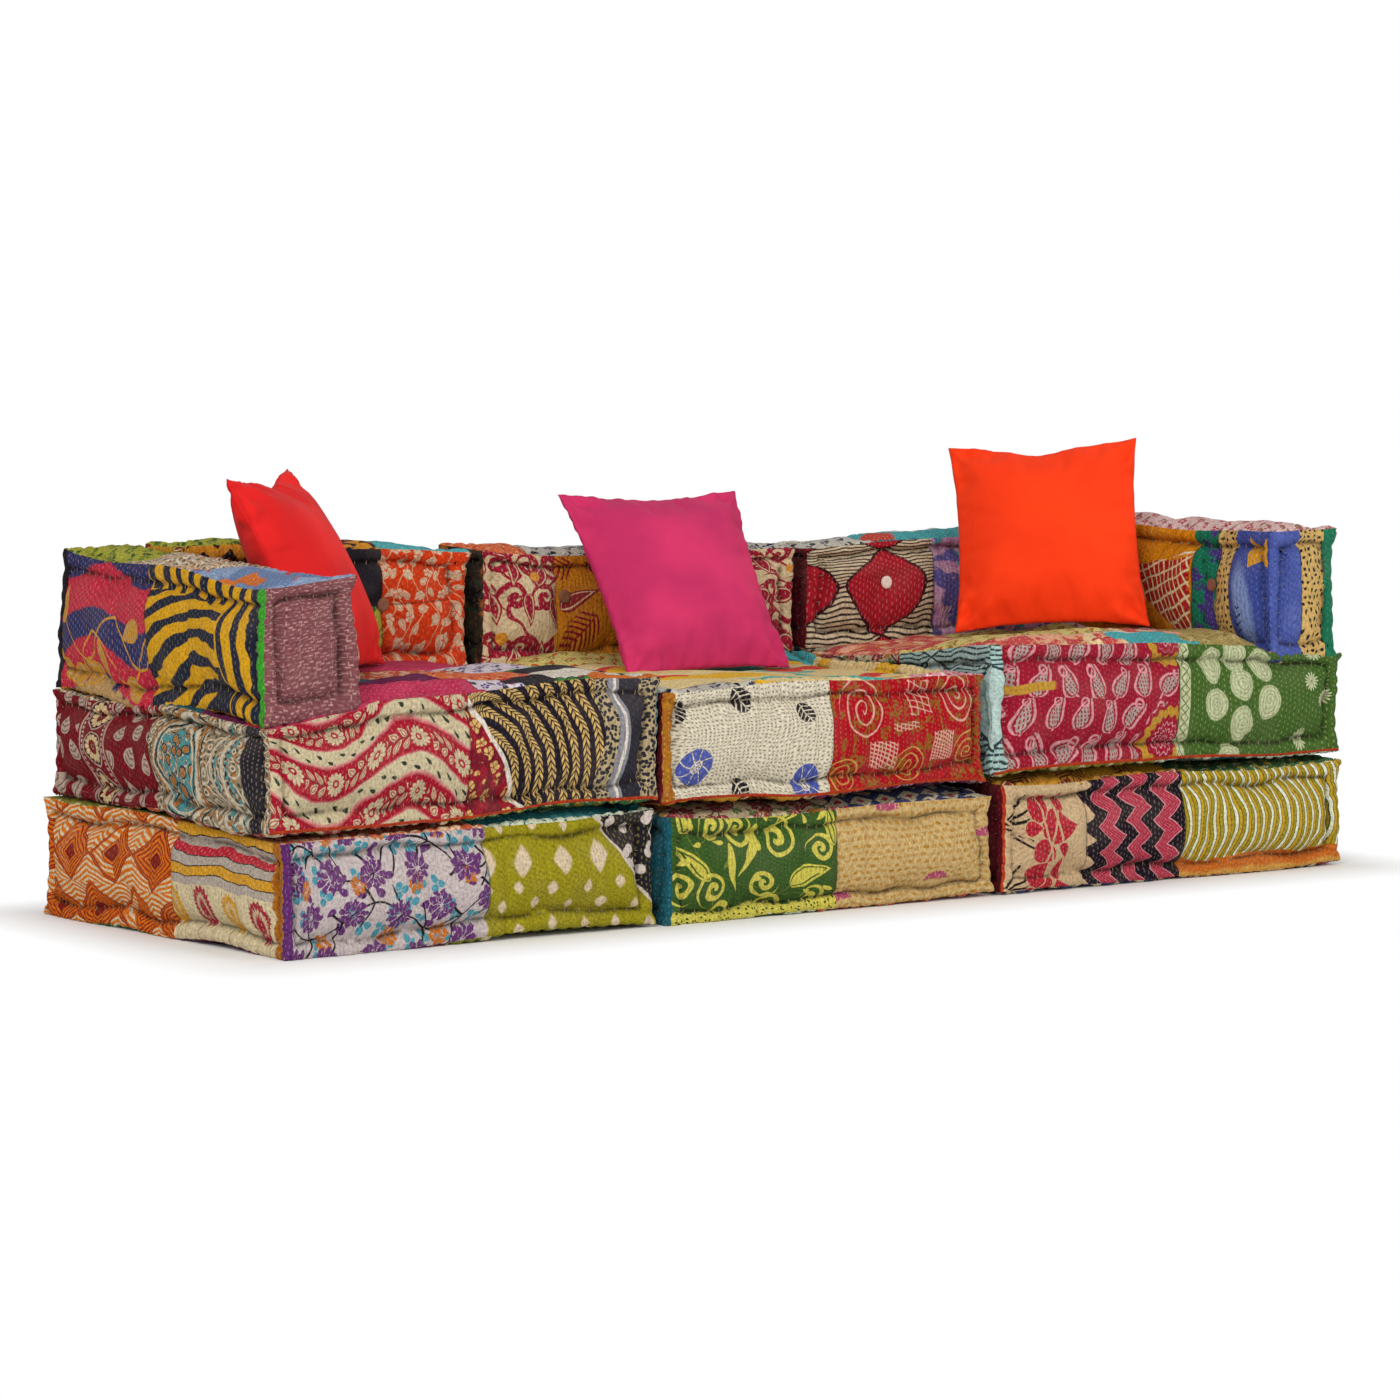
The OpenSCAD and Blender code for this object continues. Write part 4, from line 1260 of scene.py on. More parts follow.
def ogees(c):
    cream, line, crimson, edge = c.dyes
    rows = abs(repeated(c.v + (c.u * 0.06).to("SINE") * 1.5, 8.4))
    c.lay(line, below(rows, 1.7))
    x, y = repeated(c.u - 176 + 530, 213), repeated(c.v - 100 + 240, 160)     # one sits round the tuft
    shape = (abs(x) / 96).to("POWER", 1.1) + (abs(y) / 80).to("POWER", 1.7) - 1
    c.lay(crimson, below(shape, 0, 0.02))
    c.lay(edge, strip(shape, 0.045, 0.02) + strip(y, 1.8) * above(shape, 0, 0.02))


def watercolour(c):
    for number, dye in enumerate(c.dyes[1:]):
        drift = (c.u * 0.004 * (number + 1) + number * 1.7).to("SINE") * 0.05
        blot = mottle(c, 44 + 7 * number, (1, 1.2), 3.0) + drift
        c.lay(dye, below(blot, 0.46, 0.05))
    x, y, pick = scattered(c.u, c.v, 58, 50, 20)
    c.lay(c.dyes[0], flower(x, y, 17, 6, 0.35, 1.2) * below(pick, 0.5, 0.01) * 0.6)


def strokes(c):
    # broad brush strokes, laid one over another
    for number, dye in enumerate(c.dyes[1:]):
        lean = 0.35 * math.sin(number * 2.3)
        lane = c.v + c.u * lean + number * 61 + (mottle(c, 120) - 0.5) * 90
        reach = mottle(c, 160, detail=1.0) + (c.u * 0.012 + number * 1.9).to("SINE") * 0.22
        c.lay(dye, ruled(lane, 210, 30, 5) * below(reach, 0.5, 0.03))


def sewnMustard(c):
    mustard, deep, crimson, cream, white = c.dyes
    c.lay(deep, mottle(c, 50))
    x, y = placed(c, 430, 104)
    wedge = abs(y + x * 0.12) - (x + 130) * 0.30
    lines = ruled(c.u + c.v * 0.6, 17, 2) + ruled(c.v - c.u * 0.4, 22, 2)
    c.lay(paint(crimson, cream, lines.to("MINIMUM", 1)), below(wedge) * strip(x, 108))
    x, y = placed(c, 536, 104)
    dash = ruled(c.v, 7, 2.2)
    c.lay(white, strip(far(x * 0.5, y) - 62, 1.6) * below(-x, 60) * dash)


def tealTuft(c):
    teal, purple, dark = c.dyes
    c.lay(purple, below(mottle(c, 44), 0.46, 0.05))
    c.lay(dark, below(mottle(c, 16), 0.36, 0.04))


def tanSpots(c):
    tan, black = c.dyes
    x, y, pick = scattered(c.u, c.v, 13, 11, 5)
    c.lay(black, below(drop(*turned(x, y, pick * 6), 8, 5)))


def blueBow(c):
    blue, light, yellow, dark = c.dyes
    # painted highlight: a soft pale streak down the blue, where the rounded side catches the light
    c.lay(light, below(oval(*placed(c, 700, 84, 0.15), 18, 62), soft=10))
    x, y = placed(c, 738, 168)
    c.lay(yellow, below(abs(y) - abs(x) * 0.5, 13) * strip(x, 26))
    for side in (-1, 1):
        x, y = placed(c, 724 + side * 42, 46, side * 0.3)
        c.lay(dark, ruled(y - abs(x), 12, 1.6) * strip(x, 9) * strip(y, 34))


def plainCloth(c):
    ground, other = c.dyes
    c.lay(other, mottle(c, 36))


def sprigs(c):
    # small block-printed flowers between leaves
    ground, petal, leaf = c.dyes
    x, y, pick = scattered(c.u, c.v, 36, 32, 12)
    c.lay(leaf, below(drop(*turned(x, y + 9, pick * 6), 20, 9)))
    x, y, pick = scattered(c.u + 12, c.v + 16, 36, 32, 8)
    c.lay(petal, flower(x, y, 9, 5))
    c.lay(ground, below(far(x, y), 2.2))


def checks(c):
    # harlequin diamonds
    one, two, three = c.dyes
    x, y, pick = scattered(c.u, c.v, 52, 40)
    shape = abs(x) / 26 + abs(y) / 20
    c.lay(two, below(shape, 0.95, 0.03))
    c.lay(three, below(shape, 0.34, 0.04))


# each cloth: how it is printed, its dyes, and its running stitches: row gap and dash in mm, thread, strength
cloths = {
    "carnations": (carnations, "C6BABA 693874 C0702A 4A98AA 1C1620", "9 6 E2D8D6 0.25"),
    "oliveDiamonds": (oliveDiamonds, "A79C1C 8C8416 DCC8AC 23202A CFC4BE", "7 5 C6BC4A 0.3"),
    "greenSwirls": (scrolls, "3A5C26 D6CC58 36501C", "8 4 6E8A4A 0.35"),
    "tanDashes": (tanDashes, "CDB076 B5812C B24672", "10 8 E2CC9C 0.6"),
    "redTulips": (tulips, "CDB28A B82638 1E1A1E", "9 5 DCC8A6 0.3"),
    "zigzags": (zigzags, "D0B48C 1C161E B42C46 DC949A", "9 5 B9A0A4 0.35"),
    "oliveStripes": (bowedStripes, "A8921E 4E5A26 E4E8D2 C8A022 C96A22 D9A24A", "9 5 D6CC8A 0.25"),
    "orangeMaze": (maze, "DC7414 9C2414 E0D0AC 841A12", "9 5 E8B070 0.2"),
    "botehStripes": (
        botehStripes, "DCCCA4 A4283A D69C22 B4A89C C4283C 3A2C28 B06A16 62306E", "9 5 E4DAC4 0.3"),
    "wavyGarlands": (garlands, "A6182E D28484 CBBF9C 2C3A2C", "8 5 E0B8A8 0.2"),
    "wheatArcs": (wheatArcs, "1E1A24 D8B46C E2DACE 7A1426 9E1C2E B8A67E 8E9098 2C2C36", "9 5 5A5560 0.4"),
    "ivoryWheels": (ivoryWheels, "E0D8C2 5A5044 1E1C24 4A5AAC", "9 6 C9BFA4 0.3"),
    "crimsonSpirals": (spirals, "AE101A 8A661A DDA898 CC9C4C", "9 4 D9888A 0.3"),
    "crimsonPaisleys": (paisleys, "9E1830 DB98A0 B0A49E C09432", "9 4 C9707C 0.35"),
    "greenMedallions": (medallions, "46672A C9CFA6 5E7440", "10 5 8EA864 0.7"),
    "crimsonDrops": (crimsonDrops, "780E1A C0AA9A 420A12 E0C896", "8 6 B06468 0.35"),
    "turquoisePaisley": (turquoiseBoteh, "9A8A6E 4A949A B0702C D2C6AE 2E3434 26242C", "8 5 C9BFA8 0.3"),
    "navyLeaves": (leafyWaves, "2E3664 C62C42 CC9430 BE9A62", "8 5 D29A9A 0.4"),
    "zebra": (zebra, "DCA416 22283A 38A02A", "8 5 B9AE8A 0.25"),
    "mauveDashes": (mauveDashes, "8A5458 704046 D4A8A6", "27 6 D0A2A2 0.55"),
    "barePatch": (plainCloth, "1C1A20 28262E", "10 5 4A4850 0.2"),
    "orangeVines": (vines, "D43E12 D4C0A0 DCA680", "9 5 E8A080 0.25"),
    "redSwirls": (crimsonScrolls, "D8C39C 9E1C34 DB962C", "9 5 E6DAC0 0.3"),
    "mustardFeathers": (feathers, "D0861A BE7414 8E1C28 E0C49A", "9 5 E0B060 0.3"),
    "ogees": (ogees, "D2C2A2 2C2620 A81828 3A1418", "9 6 DDA0A0 0.35"),
    "pinkFloral": (watercolour, "B888B2 3C9CA0 5C5AA0 C8A0C0", "9 5 D2C0D2 0.3"),
    "mustardPatches": (sewnMustard, "E69A0A CE800C B0161E E6D6A8 F0EADC", "9 5 F0C060 0.3"),
    "tealTuft": (tealTuft, "127A5A 4A3286 104A44", "8 4 5EA890 0.4"),
    "tanSpots": (tanSpots, "D2AE68 221E26", "10 5 E0C690 0.2"),
    "blueBow": (blueBow, "3E509E 8096CC E0A014 1C264A", "8 5 7080BC 0.5"),
    "bluePlain": (plainCloth, "3E509E 5A6AB4", "8 5 7080BC 0.5"),
    "crimsonRoll": (plainCloth, "6E1420 4A1018", "9 5 A04A50 0.4"),
    "darkFoliage": (watercolour, "3C3226 24402A 9A5A2A 1C1A18", "9 5 7A6A4A 0.3"),
    "purpleRoll": (plainCloth, "6A3078 54245F", "8 5 9A70A8 0.5"),
    "greenRoll": (plainCloth, "1F7F5C 17684C", "9 5 5EA890 0.4"),
    "tealStrip": (plainCloth, "1E6878 16505E", "9 5 5E9AA8 0.4"),
    "mustardStrip": (plainCloth, "C08A1C 8E2420", "9 5 E0C070 0.4"),
    "paleTealStrip": (ogees, "A9CCC8 2E4448 B8D4D0 2E4448", "9 5 D8E6E2 0.4"),
    "blackRoll": (plainCloth, "1A181C 2A262C", "9 5 4A464C 0.3"),
    "orangePiping": (plainCloth, "C8431E A8341A", "9 5 E08060 0.3"),
    # seat, bolster and pouf tops
    "magentaTop": (plainCloth, "B8244E D04468", "9 6 E08098 0.5"),
    "coralTop": (sprigs, "D9683C E8A070 B83A2C", "8 6 F0B890 0.5"),
    "plumTop": (plainCloth, "6E2050 5A1844", "8 5 9A5080 0.5"),
    "violetTop": (sprigs, "D8D0D8 5C3A8E 3A3A4A", "9 5 F0E8F0 0.3"),
    "darkTop": (strokes, "2C2A30 C22A28 E0D8C8 3E7A3C 6E2050 D0702C", "9 5 6A6670 0.4"),
    "brightTop": (strokes, "E4CC90 4EB4A6 E8B424 D8382A 3FB0A8 EAD49A", "9 6 F2E2BC 0.4"),
    "navySprigTop": (sprigs, "C9C4B8 3A3E5E 26262E", "9 5 E6E2D8 0.3"),
    "pinkTop": (sprigs, "E09AA4 F0D4CC C84A62", "9 5 F6DCD8 0.4"),
    "oliveTop": (sprigs, "D9C878 8A7A2A C0502E", "9 5 EADFA8 0.4"),
    "peachTop": (watercolour, "E8A888 D9683C E8CC9A C84A4A", "9 5 F2D2B8 0.4"),
    "tanTop": (sprigs, "B09A5A C4B078 8A7A3C", "9 5 D0C08C 0.5"),
    "turquoiseTop": (strokes, "4AA8AE D8E0D8 2C6E78 C8402E", "9 5 A0D8D8 0.4"),
    "harlequin": (checks, "D9922A 241F26 C8402E", "9 5 E6B870 0.3"),
    "limeTop": (sprigs, "A8A83A 5E7A2C 3C5A2A", "9 5 CCCC70 0.4"),
    "tanPrintTop": (turquoiseBoteh, "B9A48A 8E6A6A C8852E DCD2BC 4C3C38 4A3A34", "9 5 D8CCB4 0.3"),
    "blueGreyTop": (strokes, "6E86AE 26242E C84428 8EA2C2 D8742C", "9 5 A8B8D0 0.4"),
    "roseTop": (sprigs, "E2C0BC B83A4A 9A6A5A", "9 5 F2E0DC 0.4"),
    # sides that the photograph doesn't show
    "coralPrint": (vines, "C85A3C E6CBA8 E0A080", "9 6 E8B090 0.35"),
    "turquoiseStrokes": (scrolls, "2E8E98 D2DCC0 1E5C66", "9 5 8EC8C8 0.35"),
    "olivePrint": (oliveDiamonds, "8A8A2C 74742A D6CBA0 3A3A22 C8C090", "8 5 B4B060 0.35"),
    "plumPrint": (paisleys, "6A2448 C890A8 A89AA0 B08A3A", "9 5 A86888 0.35"),
    "mustardPaisley": (feathers, "CC942A B88020 7A2A1E E6D2A0", "9 6 E6C070 0.35"),
    "greenDots": (sprigs, "3E6A3E D2CC9C C8A03A", "8 5 7EA070 0.45"),
    "beigeVines": (carnations, "CDBB98 8E2C3C B8742A 5E7A4A 3A2C28", "9 6 E2D6BC 0.35"),
    "navyCheck": (checks, "343C62 C8BC9C A83040", "9 5 7078A0 0.4"),
}
clothFinish = {
    "stray": 14,               # mm, how far hand printing and stitching wander
    "strayEvery": 16.0,        # how many times a metre they do
    "roughness": 0.86,         # washed cotton scatters light almost evenly
    "weave": 2.6,              # mm; real threads lie 0.5 mm apart, too fine to show, so drawn coarser
    "fade": 0.03,              # how far washing has paled the dyes, in patches
    "fadeSize": 85,            # mm
    "thread": 0.16,            # darker where the threads are thick
    "threadSize": 3.2,
    "row": 0.30,               # painted shade along the dimpled rows of stitches
    "pucker": 0.22,            # painted shade in the small dimples that the quilting pulls
    "puckerSize": 4.6,
    "creaseShading": 0.85,             # painted shade along seams and in creases
    "creaseAt": 30,            # mm in from the edge
    "seamShading": 0.7,          # the share of that painted shade along seams
    # the last two colours paint shade: in the quilting's dimples, and in creases and along seams
    "washed": "D8C8B4", "slub": "241A1E", "hollow": "160C12", "shadeDye": "1A1214",
    "relief": 0.0030,          # m, height of the quilting between rows of stitches
}


class Cloth:
    # what a painter works on: the place along and up the panel in mm, its dyes, and its colour so far
    def __init__(self, tree, u, v, dyes):
        self.tree, self.u, self.v, self.dyes, self.colour = tree, u, v, dyes, dyes[0]

    def lay(self, dye, mask):
        self.colour = paint(self.colour, dye, mask)


def newMaterial(name):
    material = bpy.data.materials.new(name)
    material.use_nodes = True
    material.node_tree.nodes.clear()
    return material, material.node_tree


def finishMaterial(tree, colour, height, relief, shine):
    # the relief that the light catches, as its strength and metres, then the surface
    strength, distance = relief
    bump = addNode(tree, "ShaderNodeBump", links={
        "Strength": strength, "Distance": distance, "Height": height})
    shader = addNode(tree, "ShaderNodeBsdfPrincipled", links={
        "Base Color": colour, **shine, "Normal": bump.outputs[0]})
    addNode(tree, "ShaderNodeOutputMaterial", links={"Surface": shader.outputs[0]})


def readGap(tree, name):
    # how far the nearest edge or seam is, in mm
    return Field(addNode(tree, "ShaderNodeAttribute", {"attribute_name": name}).outputs["Fac"]) * 1000


def quiltedCotton(name):
    # old block-printed cotton, quilted by hand in running stitch: matt, faded in patches, puffed between rows
    look = clothFinish
    painter, dyes, stitching = cloths[name]
    gap, dash, thread, strength = stitching.split()
    gap, dash, strength = int(gap), int(dash), float(strength)
    material, tree = newMaterial("quilted_cotton_" + name)
    spot = addNode(tree, "ShaderNodeUVMap", {"uv_map": "UVMap"})
    stray = addNode(tree, "ShaderNodeTexNoise", {"noise_dimensions": "2D"},
                    {"Vector": spot.outputs[0], "Scale": look["strayEvery"], "Detail": 1.0})
    ways = addNode(tree, "ShaderNodeSeparateColor", links={0: stray.outputs["Color"]})
    place = addNode(tree, "ShaderNodeSeparateXYZ", links={0: spot.outputs[0]})
    u, v = (Field(place.outputs[k]) * 1000 + (Field(ways.outputs[k]) - 0.5) * look["stray"] for k in (0, 1))
    c = Cloth(tree, u, v, dyes.split())
    painter(c)

    lane = repeated(u, gap)
    row = (u / gap).to("FLOOR")
    dashes = (v / (dash * 2) + row * 0.37).to("FRACT")
    stitch = strip(lane, 0.9) * below(dashes, 0.5, 0.1)
    c.lay(thread, stitch * strength)

    fade = mottle(c, look["fadeSize"], detail=3.0)
    c.lay(look["washed"], above(fade, 0.58, 0.2) * look["fade"])
    slub = mottle(c, look["threadSize"], (0.25, 1.2))
    c.lay(look["slub"], below(slub, 0.5, 0.4) * look["thread"])
    pucker = mottle(c, look["puckerSize"], (1, 0.8))
    # painted shade where the small dimples of the quilting sink
    c.lay(look["hollow"], below(pucker, 0.47, 0.16) * look["pucker"])
    # painted shade along the sunken rows of stitches, between the stitches
    dimple = strip(lane, 1.2, 2.4) * (1 - stitch) * below(mottle(c, 12), 0.52, 0.3)
    c.lay(look["hollow"], dimple * look["row"])
    edgeGap, seamGap = readGap(tree, "edgeGap"), readGap(tree, "seamGap")
    # painted shade in the crease inside each roll, broken here and there, and along the sewn seams
    broken = above(mottle(c, 48, detail=1.0), 0.42, 0.22)
    crease = strip(edgeGap - look["creaseAt"], 1.6, 4.5) * broken * look["creaseShading"]
    crease += below(seamGap, 1.2, 2.0) * (look["creaseShading"] * look["seamShading"])
    c.lay(look["shadeDye"], crease.to("MINIMUM", 1))

    weave = (u * (2 * math.pi / look["weave"])).to("SINE") * (v * (2 * math.pi / look["weave"])).to("SINE")
    puff = above(abs(lane), gap / 4, gap / 2)
    height = puff * 0.6 + stitch * 0.25 + weave * 0.12 + slub * 0.3 + mottle(c, 18) * 0.9 + pucker * 1.3
    finishMaterial(tree, c.colour, height, (0.75, look["relief"]), {
        "Roughness": look["roughness"], "Specular IOR Level": 0.05,
        "Sheen Weight": 0.01, "Sheen Roughness": 0.5})
    return material


def plainCotton(name, dye, shade):
    # piece-dyed cotton cover, tightly woven: even and matt, with soft creases running in from its knife edge
    material, tree = newMaterial("plain_cotton_" + name)
    spot = addNode(tree, "ShaderNodeUVMap", {"uv_map": "UVMap"})
    place = addNode(tree, "ShaderNodeSeparateXYZ", links={0: spot.outputs[0]})
    c = Cloth(tree, Field(place.outputs[0]) * 1000, Field(place.outputs[1]) * 1000, [dye, shade])
    c.lay(shade, below(mottle(c, 130, detail=3.0), 0.5, 0.3) * 0.6)
    edgeGap = readGap(tree, "edgeGap")
    c.lay(shade, strip(edgeGap - 2.5, 1.5, 3) * 0.6)
    threads = (c.u * 2.4).to("SINE") * (c.v * 2.4).to("SINE")
    creases = mottle(c, 34, (1, 0.4)) * below(edgeGap, 45, 80) * 2.2 + mottle(c, 60)
    finishMaterial(tree, c.colour, creases + threads * 0.03, (0.8, 0.003), {
        "Roughness": 0.8, "Specular IOR Level": 0.15, "Sheen Weight": 0.03, "Sheen Roughness": 0.4})
    return material


def looseFibre(name, dye, shade, size, twist=0.0):
    # fibre seen by its tangle or its twist: matt, no two spots quite alike
    material, tree = newMaterial(name)
    spot = addNode(tree, "ShaderNodeTexCoord")
    tangle = addNode(tree, "ShaderNodeTexNoise", links={
        "Vector": spot.outputs["Object"], "Scale": 1 / size, "Detail": 4.0})
    height = Field(tangle.outputs[0])
    if twist:
        place = addNode(tree, "ShaderNodeSeparateXYZ", links={0: spot.outputs["Object"]})
        run = Field(place.outputs[0]) + Field(place.outputs[1]) + Field(place.outputs[2])
        height = height * 0.5 + (run * (2 * math.pi / twist)).to("SINE") * 0.5
    colour = paint(dye, shade, below(height, 0.5, 0.3))
    finishMaterial(tree, colour, height, (0.6, 0.0008), {"Roughness": 0.9})
    return material


sewn = {}
for name, cushion in cushions.items():
    mesh = cushion["piece"].data
    rows = quilts[name]
    slots, picks = [], []
    for number, u, v in cushion["spots"]:
        row = next(row for upTo, row in rows[panelNames[number]] if v < upTo * mm)
        cloth = next(cloth for cloth, end in row if u < end * mm)
        if cloth not in slots:
            slots.append(cloth)
        picks.append(slots.index(cloth))
    for cloth in slots:
        if cloth not in sewn:
            sewn[cloth] = quiltedCotton(cloth)
        mesh.materials.append(sewn[cloth])
    mesh.polygons.foreach_set("material_index", np.repeat(picks, 4))
    mesh.update()
print(len(sewn), "cloths printed")
pillowDyes = {"red": ("DE1F1C", "B81418"), "magenta": ("C83062", "A82458"), "orange": ("F43C0C", "E6340C")}
for name, piece in pillows.items():
    piece.data.materials.append(plainCotton(name, *pillowDyes[name]))
wadding = looseFibre("cotton_wadding", "D9D0BE", "B5AA94", 0.02)
twine = looseFibre("waxed_cotton_twine", "9C8C70", "665A44", 0.004, 0.005)
linen = looseFibre("linen_button_cloth", "E2D6CE", "C4B4AA", 0.0015)
rustLinen = looseFibre("rust_linen_button_cloth", "8A5A40", "6E4430", 0.0015)
for filling in fillings.values():
    filling.data.materials.append(wadding)

twineStitch = {"Every": 0.027, "Long": 0.0105, "Thick": 0.0016, "Uneven": 0.18}   # metres, and a share


def stitchTree():
    # lays one stitch across a crease at every step along a guide line
    tree = bpy.data.node_groups.new("edgeStitches", "GeometryNodeTree")
    tree.interface.new_socket("Geometry", in_out="INPUT", socket_type="NodeSocketGeometry")
    for label in twineStitch:
        tree.interface.new_socket(label, in_out="INPUT", socket_type="NodeSocketFloat")
    tree.interface.new_socket("Thread", in_out="INPUT", socket_type="NodeSocketMaterial")
    tree.interface.new_socket("Geometry", in_out="OUTPUT", socket_type="NodeSocketGeometry")
    given = addNode(tree, "NodeGroupInput").outputs
    line = addNode(tree, "GeometryNodeMeshToCurve", links={0: given["Geometry"]})
    evenly = addNode(tree, "GeometryNodeResampleCurve", {"mode": "LENGTH"},
                     {"Curve": line.outputs[0], "Length": given["Every"]})
    outward = addNode(tree, "GeometryNodeInputNamedAttribute", {"data_type": "FLOAT_VECTOR"},
                      {"Name": "panelNormal"})
    tangent = addNode(tree, "GeometryNodeInputTangent")
    across = addNode(tree, "ShaderNodeVectorMath", {"operation": "CROSS_PRODUCT"},
                     {0: outward.outputs[0], 1: tangent.outputs[0]})
    lying = addNode(tree, "FunctionNodeAlignRotationToVector", {"axis": "Z"}, {"Vector": across.outputs[0]})
    facing = addNode(tree, "FunctionNodeAlignRotationToVector", {"axis": "X", "pivot_axis": "Z"},
                     {"Rotation": lying.outputs[0], "Vector": outward.outputs[0]})
    less = addNode(tree, "ShaderNodeMath", {"operation": "SUBTRACT"}, {0: 1.0, 1: given["Uneven"]})
    more = addNode(tree, "ShaderNodeMath", {"operation": "ADD"}, {0: 1.0, 1: given["Uneven"]})
    draw = addNode(tree, "FunctionNodeRandomValue", {"data_type": "FLOAT"},
                   {2: less.outputs[0], 3: more.outputs[0], "Seed": 7})
    half = addNode(tree, "ShaderNodeMath", {"operation": "MULTIPLY"}, {0: given["Long"], 1: draw.outputs[1]})
    size = addNode(tree, "ShaderNodeCombineXYZ", links={
        0: given["Thick"], 1: given["Thick"], 2: half.outputs[0]})
    thread = addNode(tree, "GeometryNodeMeshUVSphere", links={"Segments": 6, "Rings": 5, "Radius": 0.5})
    laid = addNode(tree, "GeometryNodeInstanceOnPoints", links={
        "Points": evenly.outputs[0], "Instance": thread.outputs[0],
        "Rotation": facing.outputs[0], "Scale": size.outputs[0]})
    plainMesh = addNode(tree, "GeometryNodeRealizeInstances", links={0: laid.outputs[0]})
    dyed = addNode(tree, "GeometryNodeSetMaterial", links={
        "Geometry": plainMesh.outputs[0], "Material": given["Thread"]})
    addNode(tree, "NodeGroupOutput", links={0: dyed.outputs[0]})
    return tree


def sewEdges(name, cushion, tree):
    # one mesh of stitches for a cushion, along the creases of its panels
    mesh = cushion["piece"].data
    points, normals = readPoints(mesh), readAttribute(mesh, "panelNormal", 3)
    line, edges, outs = [], [], []
    for panel, (outer, inner) in enumerate(zip(cushion["creases"][::2], cushion["creases"][1::2])):
        if panelNames[panel] == "bottom":
            continue
        start, count = len(line), len(inner)
        nearest = [outer[np.argmin(np.linalg.norm(points[outer] - points[i], axis=1))] for i in inner]
        line += list((points[nearest] + points[inner]) / 2 + normals[inner] * 0.0006)
        outs += list(normals[inner])
        edges += [(start + k, start + (k + 1) % count) for k in range(count)]
    guideMesh = bpy.data.meshes.new(name + "_guide")
    guideMesh.from_pydata([tuple(p) for p in line], edges, [])
    outward = guideMesh.attributes.new("panelNormal", "FLOAT_VECTOR", "POINT")
    outward.data.foreach_set("vector", np.array(outs, np.float32).ravel())
    guide = newObject(name + "_guide", guideMesh)
    layer = guide.modifiers.new("stitches", "NODES")
    layer.node_group = tree
    sockets = {item.name: item.identifier for item in tree.interface.items_tree if item.in_out == "INPUT"}
    for key, value in {**twineStitch, "Thread": twine}.items():
        layer[sockets[key]] = value
    graph = bpy.context.evaluated_depsgraph_get()
    sewnMesh = bpy.data.meshes.new_from_object(guide.evaluated_get(graph), depsgraph=graph)
    sewnMesh.name = name + "_edge_stitches"
    bpy.data.objects.remove(guide)
    stitches = newObject(name + "_edge_stitches", sewnMesh)
    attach(stitches, name)


edgeTree = stitchTree()
for name, cushion in cushions.items():
    sewEdges(name, cushion, edgeTree)
print("edges stitched")

tuftButton = {
    "wide": 0.026, "high": 0.0065, "dimple": 0.0012,
    "sunk": 0.0005,        # into its tuft
    "under": 0.0015,       # how far its back stands out
    "sides": 28, "rings": 9,
}


def buttonPair(name, cushion):
    # two cloth-covered buttons, each pulled into its tuft
    points = readPoints(cushion["piece"].data).astype(float)
    normals = readAttribute(cushion["piece"].data, "panelNormal", 3)
    look, corners, faces = tuftButton, [], []
    for place, way in tufts[name]:
        side = points - place
        flat = side - np.outer(side @ way, way)
        close = (np.linalg.norm(flat, axis=1) < 0.012) & (normals @ way > 0.9)
        seat = place + way * (float(np.mean((side @ way)[close])) - look["sunk"])
        right = np.cross(way, (0, 0, 1))
        start, sides = len(corners), look["sides"]
        corners.append(seat + way * (look["high"] - look["dimple"]))
        for ring in range(1, look["rings"] + 1):
            t = ring / look["rings"]
            wide = look["wide"] / 2 * math.sin(min(t * 1.18, 1.0) * math.pi / 2) * (1 if t < 0.9 else 0.9)
            high = look["high"] * (1 - t ** 3.2) - look["dimple"] * math.exp(-(t / 0.16) ** 2)
            for k in range(sides):
                angle = 2 * math.pi * k / sides
                spoke = right * math.cos(angle) + np.array((0, 0, 1)) * math.sin(angle)
                pleat = 1 + 0.018 * math.cos(9 * angle) * t
                corners.append(seat + way * high + spoke * wide * pleat)
        corners.append(seat - way * look["under"])
        first, last = start + 1, len(corners) - 1
        for k in range(sides):
            after = (k + 1) % sides
            faces.append((start, first + after, first + k))
            for ring in range(look["rings"] - 1):
                low, high = first + ring * sides, first + (ring + 1) * sides
                faces.append((low + k, low + after, high + after, high + k))
            faces.append((last, last - sides + k, last - sides + after))
    mesh = bpy.data.meshes.new(name + "_buttons_linen")
    mesh.from_pydata([tuple(p) for p in corners], [], faces)
    shape = bmesh.new()
    shape.from_mesh(mesh)
    bmesh.ops.recalc_face_normals(shape, faces=shape.faces)
    shape.to_mesh(mesh)
    shape.free()
    mesh.polygons.foreach_set("use_smooth", [True] * len(mesh.polygons))
    mesh.materials.append(linen if name == "back_right" else rustLinen)
    pair = newObject(name + "_buttons_linen", mesh)
    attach(pair, name)
    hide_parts(name + "_buttons")


for name in tufts:
    buttonPair(name, cushions[name])
    tie = bpy.data.objects[name + "_ties"]
    tie.data.materials.clear()
    tie.data.materials.append(twine)
print("tufts buttoned")

cameraPlace = {"at": (-5.375, -7.735, 1.191), "down": 5.05, "turn": 34.57, "lens": 5000 / 1400 * 36}
camera = bpy.data.objects.new("camera", bpy.data.cameras.new("camera"))
scene.collection.objects.link(camera)
camera.data.lens, camera.data.sensor_width, camera.data.clip_end = cameraPlace["lens"], 36, 200
camera.location = cameraPlace["at"]
camera.rotation_euler = (math.radians(90 - cameraPlace["down"]), 0, math.radians(-cameraPlace["turn"]))
scene.camera = camera

